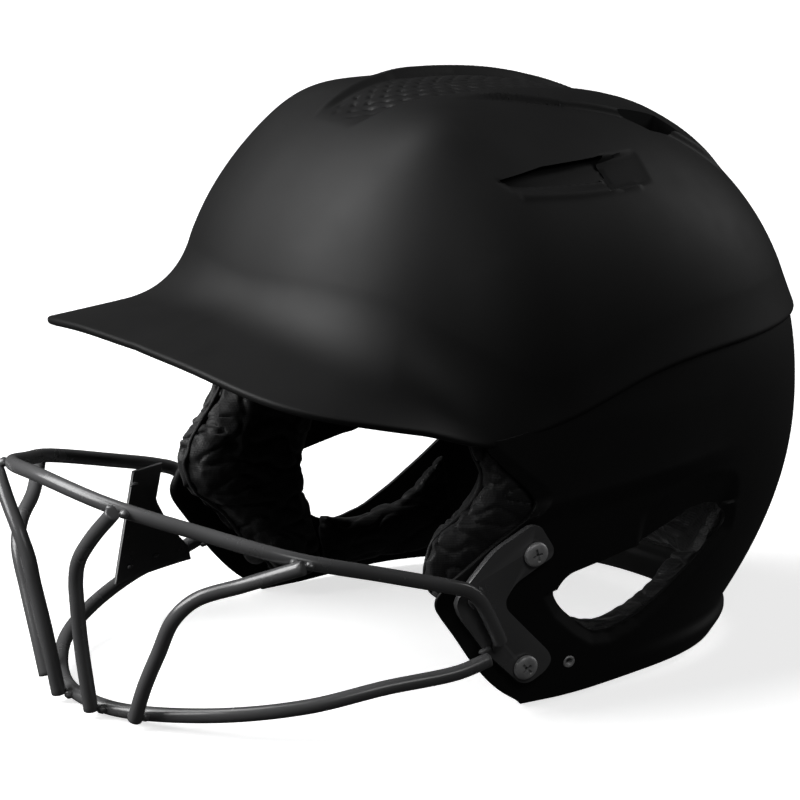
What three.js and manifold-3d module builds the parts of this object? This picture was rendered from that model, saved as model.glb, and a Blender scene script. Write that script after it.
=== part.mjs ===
// Softball batting helmet with a bolted wire face mask.
// Millimetres. +Z is up, the bill faces -Y, and +X is the wearer's left.
// The helmet stands on its ear flaps and on the front of the mask's lower rail.
import * as THREE from 'three';
import { mergeVertices } from 'three/addons/utils/BufferGeometryUtils.js';
import Module from 'manifold-3d';

const wasm = await Module();
wasm.setup();

// ---------------------------------------------------------------- driving dimensions
const GAP = 0.3;                 // clearance between neighbouring solids

// Crown: superelliptic in plan and in profile.
const CROWN_CENTRE_Y = 18;
const CROWN_EQUATOR_Z = 99;
const CROWN_HALF_WIDTH = 109;
const CROWN_FRONT = 98.5;
const CROWN_BACK = 153;
const CROWN_HEIGHT = 131;
const PLAN_POWER = 2.46;
const RISE_POWER_FRONT = 2.36;
const RISE_POWER_BACK = 2.2;
const SHELL_THICKNESS = 3.2;

// Walls below the equator taper in to the ear flaps and the nape.
const WALL_FRONT = 150;
const WALL_STEP = 1.2;           // the wall sits this far inside the crown's lip
const WALL_THICKNESS = 3;
const SIDE_TAPER = 0.12;
const NAPE_TAPER = 0.32;
const HEM_FLARE = 5;             // how far the hem turns out at the nape
const HEM_FLARE_HEIGHT = 14;

// Bill: superelliptic outline in plan, leaving the brow through a fillet.
const BILL_HALF_WIDTH = 106;
const BILL_ROOT_Y = -34;
const BILL_LENGTH = 90;
const BILL_POWER = 4;
const BILL_END_DEG = 62;         // azimuth from the front where the bill starts to fade
const TEMPLE_DEG = 80;           // azimuth where it has become the crown's lip
const LIP_FLARE = 1.2;

// How far the wall runs up behind the lip, [azimuth from the front in degrees, height]: it stays low
// under the bill's end, where the wall stands further out than the crown.
const WALL_TOP_COVER = [[76, 2], [96, 14]];

// Heights along the rim, [azimuth from the front in degrees, height].
const RIM_HEIGHT = [
  [0, 141.5], [20, 139.5], [39, 130.5], [52, 121], [66, 109.5], [82, 115.5], [105, 128], [125, 132], [180, 132],
];
const BROW_HEIGHT = [
  [0, 149.5], [26, 147], [45, 141], [60, 128], [72, 121], [82, 125], [105, 138], [125, 142], [180, 142],
];
const FILLET_HEIGHT = [[0, 14], [45, 22], [66, 20], [82, 8], [180, 8]];
const HEM_HEIGHT = [[50, 0], [85, 0], [112, 2.5], [135, 3], [155, 4], [180, 5]];

// Front edge of the ear flap, [height, y].
const FLAP_EDGE = [
  [0, -6], [5, -15], [11, -22.5], [21, -32], [32.5, -41], [41, -48.5],
  [45, -51], [51, -47.5], [58, -41], [70, -29], [81, -8.5], [90, -15], [100, -25], [109, -34], [140, -36],
];

// Ear hole in side view, [y, z].
const EAR_HOLE = [
  [1.5, 46], [6.5, 38.5], [16.8, 29.8], [24.5, 24.8], [32.5, 24], [46, 27.5], [60.5, 35.2],
  [75.5, 45], [91, 56.5], [92, 61], [86, 67.5], [78, 69], [70, 68.5], [45.5, 60], [7, 52.6],
];

// Side vent in side view, [y, z], and the two slits beside the crown's centre channel in plan, [x, y].
const SIDE_VENT = [[-4, 203.4], [17, 206], [49.5, 206.3], [44.7, 202.6], [46.5, 198], [22, 199], [0, 200.6]];
const CROWN_SLITS = [
  [[33, 22], [38, 31], [42, 48], [37, 40]],
  [[44, 73], [50, 86], [46, 104], [39, 96]],
];

// Mask wire, plates and fasteners.
const WIRE_RADIUS = 2.9;
const WIRE_SIDES = 8;
const PLATE_THICKNESS = 2.4;
const PLATE_CLEARANCE = 1.1;     // the flat plate stands this far off the curved flap at its middle
const UPPER_SCREW = [-11.8, 65.3]; // [y, z]
const LOWER_SCREW = [-11, 18];
const JAW_INSERT = [12, 14];
const SCREW_HEAD_RADIUS = 5;
const SCREW_HEAD_HEIGHT = 2.4;
const SCREW_SHANK_RADIUS = 2.3;
const SCREW_LENGTH = 14;
const HOLE_RADIUS = 2.8;
const NUT_FLANGE_RADIUS = 7.5;
const NUT_FLANGE_THICKNESS = 1.4;
const NUT_BARREL_RADIUS = 3.8;
const NUT_BARREL_LENGTH = 6;
const INSERT_RADIUS = 2.5;
const INSERT_BORE_RADIUS = 1.5;
const INSERT_LENGTH = 5;
const INSERT_PROUD = 0.4;

// Half of each mask wire, from the middle plane to the wearer's left, [x, y, z].
const UPPER_RAIL = [
  [0, -166, 95.7], [37, -157, 90.9], [63.6, -135.5, 83.3], [90, -109, 74.7], [99.5, -75, 65.3],
];
const UPPER_RAIL_ON_PLATE = [
  [-49, 58.4], [-40.5, 55.2], [-35.5, 50.5], [-30.8, 43], [-26.6, 35.5], [-24.8, 32],
];
const LOWER_RAIL = [[0, -147, 2.95], [23, -143.3, 3.6], [58, -123, 7.6], [79.7, -97.3, 12.2], [92, -70, 18]];
const LOWER_RAIL_ON_PLATE = [[-42, 21.8], [-29, 25.2]];
const INNER_BAR = [
  [44.5, -160.6, 90.2], [32, -162.4, 78], [22, -162.6, 66.5], [17.8, -161.5, 57.5],
  [16.4, -160.3, 48], [13.8, -157.3, 30], [12.2, -152.6, 3],
];
const OUTER_BAR = [
  [97.3, -110.4, 73.6], [78.1, -124.6, 64.5], [65.6, -137.5, 58], [58.6, -143.1, 49.5],
  [49.6, -144.6, 34], [40.4, -145.6, 18], [33.6, -145.9, 3.6],
];

// Boomerang plate in side view, [y, z].
const MOUNT_PLATE = [
  [-14.5, 77.2], [-10.5, 76.5], [-3.6, 66.5], [-3.7, 62.8], [-19, 53.8], [-22.4, 47.5], [-21.5, 43.5],
  [-1, 23], [1, 18.8], [-1.5, 14.6], [-7.5, 10.8], [-12, 11], [-28, 26], [-41, 42.5],
  [-43.8, 48.5], [-42.5, 52.5], [-34, 63.3], [-29, 69],
];
// Blank tag plate between the rails on the wearer's right: its front and back edges, [height, y].
const TAG_PLATE_FRONT = [[18, -85], [60, -67]];
const TAG_PLATE_BACK = [[18, -40], [24, -41], [34, -50], [46, -56], [60, -50]];
const TAG_PLATE_THICKNESS = 1.8;

// Depth of the padding's outer face below the crown's outer face.
const LINER_DEPTH = 5;

// Crown pad in plan, and its depth below the crown.
const CROWN_PAD_HALF_WIDTH = 46;
const CROWN_PAD_HALF_LENGTH = 62;
const CROWN_PAD_CENTRE_Y = 30;
const CROWN_PAD_DEPTH = 9;
const CROWN_PAD_THICKNESS = 14;

// Cheek pad in front of the ear hole, following the flap's front edge, as [height, y].
const CHEEK_TOP = 116;
const CHEEK_BOTTOM = 5;
const CHEEK_DEPTH = 5.2;
const CHEEK_THICKNESS = 19;
const CHEEK_FRONT = [
  [5, -9], [13, -19], [25, -30], [41, -47], [48, -56], [64, -60],
  [76, -53], [86, -42], [93, -35], [108, -39], [116, -40],
];
const CHEEK_BACK = [[5, 12], [24, 14.5], [44, 10], [56, 12], [74, 20], [116, 26]];

// Pad under and behind the ear hole: its upper and lower edges, as [y, height].
const EAR_PAD_THICKNESS = 13;
const EAR_PAD_TOP = [[14, 35], [26, 29], [34, 27.5], [48, 29], [62, 32.5], [80, 44], [92, 52]];
const EAR_PAD_BOTTOM = [[14, 5], [60, 6], [80, 9], [92, 13]];

// ---------------------------------------------------------------- materials
const finish = (color, roughness, metalness = 0) => (
  new THREE.MeshStandardMaterial({ color, roughness, metalness })
);
const shellBlack = finish(0x151516, 0.55);
const maskBlack = finish(0x1a1a1c, 0.35, 0.2);
const fabricBlack = finish(0x1d1d1f, 0.9);
const foamGrey = finish(0x2a2a2c, 0.95);
const steel = finish(0xa5a7aa, 0.35, 1);

// ---------------------------------------------------------------- small helpers
const radians = (degrees) => (degrees * Math.PI) / 180;

// Smooth interpolation through [x, y] stations with finite-difference slopes.
function alongStations(stations, x) {
  const last = stations.length - 1;
  if (x <= stations[0][0]) return stations[0][1];
  if (x >= stations[last][0]) return stations[last][1];
  let i = 0;
  while (x > stations[i + 1][0]) i += 1;
  const slope = (k) => {
    const a = stations[Math.max(k - 1, 0)];
    const b = stations[Math.min(k + 1, last)];
    return (b[1] - a[1]) / (b[0] - a[0]);
  };
  const [x0, y0] = stations[i];
  const [x1, y1] = stations[i + 1];
  const h = x1 - x0;
  const t = (x - x0) / h;
  const rise = (y1 - y0) / h;
  // Slopes stay flat where the stations turn, so the curve never overshoots.
  const limit = (m) => (m * rise <= 0 ? 0 : Math.sign(m) * Math.min(Math.abs(m), 3 * Math.abs(rise)));
  const m0 = limit(slope(i));
  const m1 = limit(slope(i + 1));
  const c = 3 * (y1 - y0) - h * (2 * m0 + m1);
  const d = h * (m0 + m1) - 2 * (y1 - y0);
  return y0 + h * m0 * t + c * t * t + d * t * t * t;
}

function linearStations(stations, x) {
  const last = stations.length - 1;
  if (x <= stations[0][0]) return stations[0][1];
  if (x >= stations[last][0]) return stations[last][1];
  let i = 0;
  while (x > stations[i + 1][0]) i += 1;
  const t = (x - stations[i][0]) / (stations[i + 1][0] - stations[i][0]);
  return THREE.MathUtils.lerp(stations[i][1], stations[i + 1][1], t);
}

// A point at azimuth phi from the front (radians, positive to +X), radius r, height z.
const polar = (phi, r, z) => new THREE.Vector3(r * Math.sin(phi), CROWN_CENTRE_Y - r * Math.cos(phi), z);

// ---------------------------------------------------------------- shell surfaces
const hemHeight = (phi) => alongStations(HEM_HEIGHT, Math.abs(THREE.MathUtils.radToDeg(phi)));

function planRadius(phi, front) {
  const across = Math.abs(Math.sin(phi)) / CROWN_HALF_WIDTH;
  const along = Math.abs(Math.cos(phi)) / (Math.cos(phi) > 0 ? front : CROWN_BACK);
  return (across ** PLAN_POWER + along ** PLAN_POWER) ** (-1 / PLAN_POWER);
}

// How far the wall has tapered in at a height below the equator.
function wallTaper(phi, z) {
  const drop = THREE.MathUtils.clamp((CROWN_EQUATOR_Z - z) / 98, 0, 1.05);
  const side = 1 - SIDE_TAPER * drop ** 1.6;
  const nape = 1 - NAPE_TAPER * drop ** 2.2;
  const share = Math.sin(phi) ** 2;
  return Math.cos(phi) > 0 ? side : side * share + nape * (1 - share);
}

// The profile's power runs from its front value to its back value around the crown.
function risePower(phi) {
  return THREE.MathUtils.lerp(RISE_POWER_BACK, RISE_POWER_FRONT, (1 + Math.cos(phi)) / 2);
}

function crownNarrowing(phi, z) {
  const rise = THREE.MathUtils.clamp((z - CROWN_EQUATOR_Z) / CROWN_HEIGHT, 0, 1);
  const power = risePower(phi);
  return (1 - rise ** power) ** (1 / power);
}

function crownRadius(phi, z) {
  return planRadius(phi, CROWN_FRONT) * crownNarrowing(phi, z) * wallTaper(phi, z);
}

// The hem turns out a little around the nape and fades out towards the ear flaps.
function hemFlare(phi, z) {
  const degrees = Math.abs(THREE.MathUtils.radToDeg(phi));
  const rise = THREE.MathUtils.clamp(1 - (z - hemHeight(phi)) / HEM_FLARE_HEIGHT, 0, 1);
  return HEM_FLARE * rise ** 2 * THREE.MathUtils.smoothstep(degrees, 100, 145);
}

function wallRadius(phi, z) {
  const wall = planRadius(phi, WALL_FRONT) * crownNarrowing(phi, z) * wallTaper(phi, z);
  return wall - WALL_STEP + hemFlare(phi, z);
}

// Distance from the crown's axis to the bill's outline in plan.
function billRadius(phi) {
  let low = 60;
  let high = 220;
  for (let n = 0; n < 40; n += 1) {
    const r = (low + high) / 2;
    const x = Math.abs(r * Math.sin(phi)) / BILL_HALF_WIDTH;
    const y = Math.max(0, (BILL_ROOT_Y - (CROWN_CENTRE_Y - r * Math.cos(phi))) / BILL_LENGTH);
    if (x ** BILL_POWER + y ** BILL_POWER > 1) high = r;
    else low = r;
  }
  return low;
}

function rimPoint(phi) {
  const degrees = Math.abs(THREE.MathUtils.radToDeg(phi));
  const z = alongStations(RIM_HEIGHT, degrees);
  const fade = THREE.MathUtils.smoothstep(degrees, BILL_END_DEG, TEMPLE_DEG);
  const lip = crownRadius(phi, z) + LIP_FLARE;
  const r = fade < 1 ? THREE.MathUtils.lerp(billRadius(phi), lip, fade) : lip;
  return new THREE.Vector2(r, z);
}

// Profile of the crown and bill at one azimuth, from the top to the rim, as (radius, height).
function crownProfile(phi, crownSteps, filletSteps, billSteps) {
  const degrees = Math.abs(THREE.MathUtils.radToDeg(phi));
  const browZ = alongStations(BROW_HEIGHT, degrees);
  const startZ = browZ + alongStations(FILLET_HEIGHT, degrees);
  const power = risePower(phi);
  const startAngle = Math.asin(((startZ - CROWN_EQUATOR_Z) / CROWN_HEIGHT) ** (power / 2));
  const points = [];
  for (let i = 0; i <= crownSteps; i += 1) {
    const angle = THREE.MathUtils.lerp(Math.PI / 2, startAngle, i / crownSteps);
    const z = CROWN_EQUATOR_Z + CROWN_HEIGHT * Math.sin(angle) ** (2 / power);
    points.push(new THREE.Vector2(i === 0 ? 0 : crownRadius(phi, z), z));
  }
  const start = points[crownSteps];
  const knee = new THREE.Vector2(crownRadius(phi, browZ), browZ);
  const rim = rimPoint(phi);
  const reach = Math.min(0.6, start.distanceTo(knee) / knee.distanceTo(rim));
  const end = knee.clone().lerp(rim, reach);
  const fillet = new THREE.QuadraticBezierCurve(start, knee, end);
  for (let i = 1; i <= filletSteps; i += 1) points.push(fillet.getPoint(i / filletSteps));
  for (let i = 1; i <= billSteps; i += 1) points.push(end.clone().lerp(rim, i / billSteps));
  return points;
}

// The same profile moved inward along its own normal.
function insetProfile(points, depth) {
  return points.map((point, i) => {
    const before = points[Math.max(i - 1, 0)];
    const after = points[Math.min(i + 1, points.length - 1)];
    const along = after.clone().sub(before).normalize();
    const inset = new THREE.Vector2(point.x - Math.abs(along.y) * depth, point.y - Math.abs(along.x) * depth);
    if (i === 0) inset.set(0, point.y - depth);
    return inset;
  });
}

// ---------------------------------------------------------------- closed meshes
// One closed body from two matching grids of points: rows run along the first index.
function slab(outer, inner, wraps) {
  const rows = outer.length;
  const columns = outer[0].length;
  const position = [];
  const index = [];
  for (const grid of [outer, inner]) for (const row of grid) for (const p of row) position.push(p.x, p.y, p.z);
  const at = (side, i, j) => side * rows * columns + i * columns + (j % columns);
  const quad = (a, b, c, d) => index.push(a, b, c, a, c, d);
  const spans = wraps ? columns : columns - 1;
  for (let i = 0; i < rows - 1; i += 1) {
    for (let j = 0; j < spans; j += 1) {
      quad(at(0, i, j), at(0, i + 1, j), at(0, i + 1, j + 1), at(0, i, j + 1));
      quad(at(1, i, j), at(1, i, j + 1), at(1, i + 1, j + 1), at(1, i + 1, j));
    }
  }
  for (let j = 0; j < spans; j += 1) {
    quad(at(0, 0, j), at(0, 0, j + 1), at(1, 0, j + 1), at(1, 0, j));
    quad(at(0, rows - 1, j + 1), at(0, rows - 1, j), at(1, rows - 1, j), at(1, rows - 1, j + 1));
  }
  if (!wraps) {
    for (let i = 0; i < rows - 1; i += 1) {
      quad(at(0, i + 1, 0), at(0, i, 0), at(1, i, 0), at(1, i + 1, 0));
      const edge = columns - 1;
      quad(at(0, i, edge), at(0, i + 1, edge), at(1, i + 1, edge), at(1, i, edge));
    }
  }
  const geometry = new THREE.BufferGeometry();
  geometry.setAttribute('position', new THREE.Float32BufferAttribute(position, 3));
  geometry.setIndex(index);
  return facingOut(withoutSlivers(mergeVertices(geometry, 1e-3)));
}

// Drops triangles whose corners have merged, such as those at the crown's top.
function withoutSlivers(geometry) {
  const kept = [];
  const index = geometry.index.array;
  for (let i = 0; i < index.length; i += 3) {
    const [a, b, c] = [index[i], index[i + 1], index[i + 2]];
    if (a !== b && b !== c && a !== c) kept.push(a, b, c);
  }
  // A pair of opposite triangles on one edge ring cancels out.
  const seen = new Map();
  for (let i = 0; i < kept.length; i += 3) {
    const key = [kept[i], kept[i + 1], kept[i + 2]].sort((p, q) => p - q).join();
    if (seen.has(key)) seen.set(key, null);
    else seen.set(key, [kept[i], kept[i + 1], kept[i + 2]]);
  }
  geometry.setIndex([...seen.values()].filter((triangle) => triangle !== null).flat());
  return geometry;
}

function facingOut(geometry) {
  const p = geometry.attributes.position;
  const index = Array.from(geometry.index.array);
  let volume = 0;
  const [a, b, c] = [new THREE.Vector3(), new THREE.Vector3(), new THREE.Vector3()];
  for (let i = 0; i < index.length; i += 3) {
    a.fromBufferAttribute(p, index[i]);
    b.fromBufferAttribute(p, index[i + 1]);
    c.fromBufferAttribute(p, index[i + 2]);
    volume += a.dot(b.clone().cross(c));
  }
  if (volume < 0) for (let i = 0; i < index.length; i += 3) [index[i], index[i + 1]] = [index[i + 1], index[i]];
  geometry.setIndex(index);
  return geometry;
}

function toSolid(geometry) {
  const bare = geometry.clone();
  bare.deleteAttribute('normal');
  bare.deleteAttribute('uv');
  const merged = facingOut(withoutSlivers(mergeVertices(bare, 1e-3)));
  return new wasm.Manifold(new wasm.Mesh({
    numProp: 3,
    vertProperties: Float32Array.from(merged.attributes.position.array),
    triVerts: Uint32Array.from(merged.index.array),
  }));
}

function toGeometry(solid) {
  const mesh = solid.getMesh();
  const geometry = new THREE.BufferGeometry();
  geometry.setAttribute('position', new THREE.Float32BufferAttribute(mesh.vertProperties, 3));
  geometry.setIndex(Array.from(mesh.triVerts));
  geometry.computeVertexNormals();
  return geometry;
}

const part = new THREE.Group();
function addPart(name, geometry, material) {
  if (!geometry.attributes.normal) geometry.computeVertexNormals();
  const mesh = new THREE.Mesh(geometry, material);
  mesh.name = name;
  part.add(mesh);
}

// Mirrors a geometry across the middle plane.
function mirrored(geometry) {
  const copy = geometry.clone();
  copy.scale(-1, 1, 1);
  const index = copy.index ? Array.from(copy.index.array) : [...Array(copy.attributes.position.count).keys()];
  for (let i = 0; i < index.length; i += 3) [index[i], index[i + 1]] = [index[i + 1], index[i]];
  copy.setIndex(index);
  copy.computeVertexNormals();
  return copy;
}

// ---------------------------------------------------------------- shell
const CROWN_COLUMNS = 48;
const CROWN_STEPS = 9;
const FILLET_STEPS = 3;
const BILL_STEPS = 2;
const WALL_COLUMNS = 34;

function crownSheet() {
  const outer = [];
  const inner = [];
  const profiles = [];
  for (let j = 0; j < CROWN_COLUMNS; j += 1) {
    const phi = radians((360 * j) / CROWN_COLUMNS - 180);
    const profile = crownProfile(phi, CROWN_STEPS, FILLET_STEPS, BILL_STEPS);
    profiles.push([phi, profile, insetProfile(profile, SHELL_THICKNESS)]);
  }
  for (let i = 0; i < profiles[0][1].length; i += 1) {
    outer.push(profiles.map(([phi, profile]) => polar(phi, profile[i].x, profile[i].y)));
    inner.push(profiles.map(([phi, , inset]) => polar(phi, inset[i].x, inset[i].y)));
  }
  return slab(outer, inner, true);
}

// Azimuth at which the wall reaches a given y.
function azimuthAtY(y, z) {
  let low = radians(30);
  let high = radians(120);
  for (let n = 0; n < 40; n += 1) {
    const phi = (low + high) / 2;
    if (CROWN_CENTRE_Y - wallRadius(phi, z) * Math.cos(phi) < y) low = phi;
    else high = phi;
  }
  return low;
}

// Height of the wall's upper edge, behind the crown's lip.
function wallTop(degrees) {
  return alongStations(RIM_HEIGHT, Math.abs(degrees)) + alongStations(WALL_TOP_COVER, Math.abs(degrees));
}

// A point of the wall: share 0 at the top and 1 at the hem, offset from its outer face.
function wallPoint(phi, share, offset) {
  const top = wallTop(THREE.MathUtils.radToDeg(phi));
  const z = THREE.MathUtils.lerp(top, hemHeight(phi), share);
  return polar(phi, wallRadius(phi, z) + offset, z);
}

const WALL_FRONT_DEG = 68;        // azimuth of the wall's front edge at its top
const FLAP_SHARES = [0, 0.07, 0.14, 0.22, 0.3, 0.35, 0.42, 0.5, 0.58, 0.62, 0.66, 0.73, 0.82, 0.91, 0.96, 1];
function wallSheet() {
  const outer = [];
  const inner = [];
  for (const share of FLAP_SHARES) {
    const z = THREE.MathUtils.lerp(wallTop(WALL_FRONT_DEG), 0, share);
    const start = azimuthAtY(linearStations(FLAP_EDGE, z), z);
    const outerRow = [];
    const innerRow = [];
    for (let j = 0; j <= WALL_COLUMNS; j += 1) {
      const phi = THREE.MathUtils.lerp(start, 2 * Math.PI - start, j / WALL_COLUMNS);
      const signed = phi > Math.PI ? phi - 2 * Math.PI : phi;
      outerRow.push(wallPoint(signed, share, 0));
      innerRow.push(wallPoint(signed, share, -WALL_THICKNESS));
    }
    outer.push(outerRow);
    inner.push(innerRow);
  }
  return slab(outer, inner, false);
}

// Extrudes a side-view outline, given as [y, z], along +X between two x values.
function sidePrism(outline, fromX, toX) {
  const shape = new THREE.Shape(outline.map(([y, z]) => new THREE.Vector2(y, z)));
  const geometry = new THREE.ExtrudeGeometry(shape, { depth: toX - fromX, bevelEnabled: false });
  // The shape's own x, y, depth become y, z, x.
  geometry.applyMatrix4(new THREE.Matrix4().set(0, 0, 1, fromX, 1, 0, 0, 0, 0, 1, 0, 0, 0, 0, 0, 1));
  return geometry;
}

function planPrism(outline, fromZ, toZ) {
  const shape = new THREE.Shape(outline.map(([x, y]) => new THREE.Vector2(x, y)));
  const geometry = new THREE.ExtrudeGeometry(shape, { depth: toZ - fromZ, bevelEnabled: false });
  geometry.translate(0, 0, fromZ);
  return geometry;
}

// ---------------------------------------------------------------- mount plane and fasteners
// The plate's outer face is a plane through three points that stand off the flap.
function flapX(y, z) {
  const phi = azimuthAtY(y, z);
  return wallRadius(phi, z) * Math.sin(phi);
}
const platePoint = (y, z) => new THREE.Vector3(flapX(y, z) + PLATE_CLEARANCE + PLATE_THICKNESS, y, z);
const PLATE_FACE = new THREE.Plane();
PLATE_FACE.setFromCoplanarPoints(platePoint(-10, 64), platePoint(-10, 16), platePoint(-42, 46));
if (PLATE_FACE.normal.x < 0) PLATE_FACE.negate();
const plateX = (y, z) => (
  -(PLATE_FACE.constant + PLATE_FACE.normal.y * y + PLATE_FACE.normal.z * z) / PLATE_FACE.normal.x
);
const onPlate = ([y, z], height) => (
  new THREE.Vector3(plateX(y, z), y, z).addScaledVector(PLATE_FACE.normal, height)
);

// Turns +Y onto the plate's normal.
const UPRIGHT = new THREE.Quaternion().setFromUnitVectors(new THREE.Vector3(0, 1, 0), PLATE_FACE.normal);

// A turned piece whose own axis is the plate's normal, placed at a side-view point.
function turned(profile, [y, z], height, sides = 14) {
  const geometry = new THREE.LatheGeometry(profile.map(([r, h]) => new THREE.Vector2(r, h)), sides);
  geometry.applyQuaternion(UPRIGHT);
  const place = onPlate([y, z], height);
  geometry.translate(place.x, place.y, place.z);
  return geometry;
}
const rod = (radius, from, to) => [[0, from], [radius, from], [radius, to], [0, to]];

function screwSolid(place) {
  const head = SCREW_HEAD_HEIGHT;
  const body = toSolid(turned([
    [0, -SCREW_LENGTH], [SCREW_SHANK_RADIUS, -SCREW_LENGTH], [SCREW_SHANK_RADIUS, GAP],
    [SCREW_HEAD_RADIUS, GAP],
    [SCREW_HEAD_RADIUS, head * 0.55], [SCREW_HEAD_RADIUS * 0.8, head * 0.92], [0, head + GAP],
  ], place, 0, 18));
  // Cross recess for the driver, cut into the head.
  let cut = body;
  for (const turn of [0, Math.PI / 2]) {
    const slot = new THREE.BoxGeometry(5, 2.4, 1);
    slot.rotateY(turn);
    slot.translate(0, head + 0.2, 0);
    slot.applyQuaternion(UPRIGHT);
    const centre = onPlate(place, 0);
    slot.translate(centre.x, centre.y, centre.z);
    cut = cut.subtract(toSolid(slot));
  }
  return cut;
}

// T-nut behind the shell: a flange with a short barrel, open all the way through.
const NUT_DEPTH = PLATE_THICKNESS + PLATE_CLEARANCE + WALL_THICKNESS + 1.5;
const nutProfile = [
  [HOLE_RADIUS, -NUT_DEPTH - NUT_BARREL_LENGTH], [NUT_BARREL_RADIUS, -NUT_DEPTH - NUT_BARREL_LENGTH],
  [NUT_BARREL_RADIUS, -NUT_DEPTH - NUT_FLANGE_THICKNESS], [NUT_FLANGE_RADIUS, -NUT_DEPTH - NUT_FLANGE_THICKNESS],
  [NUT_FLANGE_RADIUS, -NUT_DEPTH], [HOLE_RADIUS, -NUT_DEPTH], [HOLE_RADIUS, -NUT_DEPTH - NUT_BARREL_LENGTH],
];

// ---------------------------------------------------------------- build the shell
let shell = toSolid(crownSheet()).add(toSolid(wallSheet()));
const bothSides = (geometry) => [toSolid(geometry), toSolid(mirrored(geometry))];
const throughPlate = (place) => turned(rod(HOLE_RADIUS, -16, 6), place, 0);
const cutters = [
  ...bothSides(sidePrism(EAR_HOLE, 60, 125)),
  ...bothSides(sidePrism(SIDE_VENT, 40, 110)),
  ...CROWN_SLITS.flatMap((slit) => bothSides(planPrism(slit, 190, 240))),
];
for (const place of [UPPER_SCREW, LOWER_SCREW]) cutters.push(...bothSides(throughPlate(place)));
cutters.push(...bothSides(turned(rod(INSERT_RADIUS + GAP, -16, 6), JAW_INSERT, 0)));
for (const cutter of cutters) shell = shell.subtract(cutter);
addPart('helmet_shell', toGeometry(shell), shellBlack);

// ---------------------------------------------------------------- padding
// A pad lies between two depths below the crown's or the wall's outer face.
function padPatch({ from, to, low, high, depth, thickness, radius = crownRadius, columns = 10, rows = 5 }) {
  const outer = [];
  const inner = [];
  for (let i = 0; i <= rows; i += 1) {
    const outerRow = [];
    const innerRow = [];
    for (let j = 0; j <= columns; j += 1) {
      const phi = radians(THREE.MathUtils.lerp(from, to, j / columns));
      const z = THREE.MathUtils.lerp(high, low, i / rows);
      const slopeStep = 1;
      const slope = (radius(phi, z + slopeStep) - radius(phi, z - slopeStep)) / (2 * slopeStep);
      const along = 1 / Math.hypot(1, slope);
      const inset = (d) => polar(phi, radius(phi, z) - d * along, z + d * along * slope);
      outerRow.push(inset(depth));
      innerRow.push(inset(depth + thickness));
    }
    outer.push(outerRow);
    inner.push(innerRow);
  }
  return slab(outer, inner, false);
}

function crownPad() {
  const rings = [0, 0.35, 0.7, 1];
  const columns = 20;
  const make = (depth) => rings.map((ring) => Array.from({ length: columns }, (_, j) => {
    const phi = (2 * Math.PI * j) / columns;
    const x = CROWN_PAD_HALF_WIDTH * ring * Math.sin(phi);
    const y = CROWN_PAD_CENTRE_Y - CROWN_PAD_HALF_LENGTH * ring * Math.cos(phi);
    const azimuth = Math.atan2(x, CROWN_CENTRE_Y - y);
    const distance = Math.hypot(x, y - CROWN_CENTRE_Y);
    const share = Math.min(distance / planRadius(azimuth, CROWN_FRONT), 0.999);
    const power = risePower(azimuth);
    const z = CROWN_EQUATOR_Z + CROWN_HEIGHT * (1 - share ** power) ** (1 / power);
    return new THREE.Vector3(x, y, z - depth);
  }));
  return slab(make(CROWN_PAD_DEPTH), make(CROWN_PAD_DEPTH + CROWN_PAD_THICKNESS), true);
}

// Blind pockets in the padding for what stands behind the wall.
const nutEnd = -NUT_DEPTH - NUT_BARREL_LENGTH - 2;
const pocket = (place) => toSolid(turned(rod(NUT_FLANGE_RADIUS + 1, nutEnd, 6), place, 0));
const insertPocket = toSolid(turned(rod(INSERT_RADIUS + 1.2, -12, 6), JAW_INSERT, 0));

addPart('crown_pad', crownPad(), foamGrey);
addPart('brow_pad', padPatch({
  from: -46, to: 46, low: 152, high: 186, depth: LINER_DEPTH, thickness: 15,
}), fabricBlack);
addPart('rear_pad', padPatch({
  from: 132, to: 228, low: 106, high: 168, depth: LINER_DEPTH, thickness: 17,
}), foamGrey);
addPart('nape_pad', padPatch({
  from: 146, to: 214, low: 12, high: 94, depth: LINER_DEPTH, thickness: 17, rows: 6,
}), fabricBlack);
const sidePad = padPatch({ from: 56, to: 126, low: 126, high: 178, depth: LINER_DEPTH, thickness: 15 });
addPart('side_pad_left', sidePad, foamGrey);
addPart('side_pad_right', mirrored(sidePad), foamGrey);

// Rows and columns of points, both ends counted.
function gridOf(rows, columns, point) {
  const row = (i) => Array.from({ length: columns + 1 }, (_, j) => point(i, j));
  return Array.from({ length: rows + 1 }, (_, i) => row(i));
}

// The cheek pad is a grid of heights between its front and back edges.
function cheekPad() {
  const rows = 10;
  const columns = 6;
  const outer = [];
  const inner = [];
  for (let i = 0; i <= rows; i += 1) {
    const z = THREE.MathUtils.lerp(CHEEK_TOP, CHEEK_BOTTOM, i / rows);
    const start = azimuthAtY(linearStations(CHEEK_FRONT, z), z);
    const end = azimuthAtY(linearStations(CHEEK_BACK, z), z);
    const row = (depth) => Array.from({ length: columns + 1 }, (_, j) => {
      const phi = THREE.MathUtils.lerp(start, end, j / columns);
      return polar(phi, wallRadius(phi, z) - depth, z);
    });
    outer.push(row(CHEEK_DEPTH));
    inner.push(row(CHEEK_DEPTH + CHEEK_THICKNESS));
  }
  return slab(outer, inner, false);
}
const cheek = toGeometry(toSolid(cheekPad())
  .subtract(pocket(UPPER_SCREW)).subtract(pocket(LOWER_SCREW)).subtract(insertPocket));
addPart('cheek_pad_left', cheek, fabricBlack);
addPart('cheek_pad_right', mirrored(cheek), fabricBlack);

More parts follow.
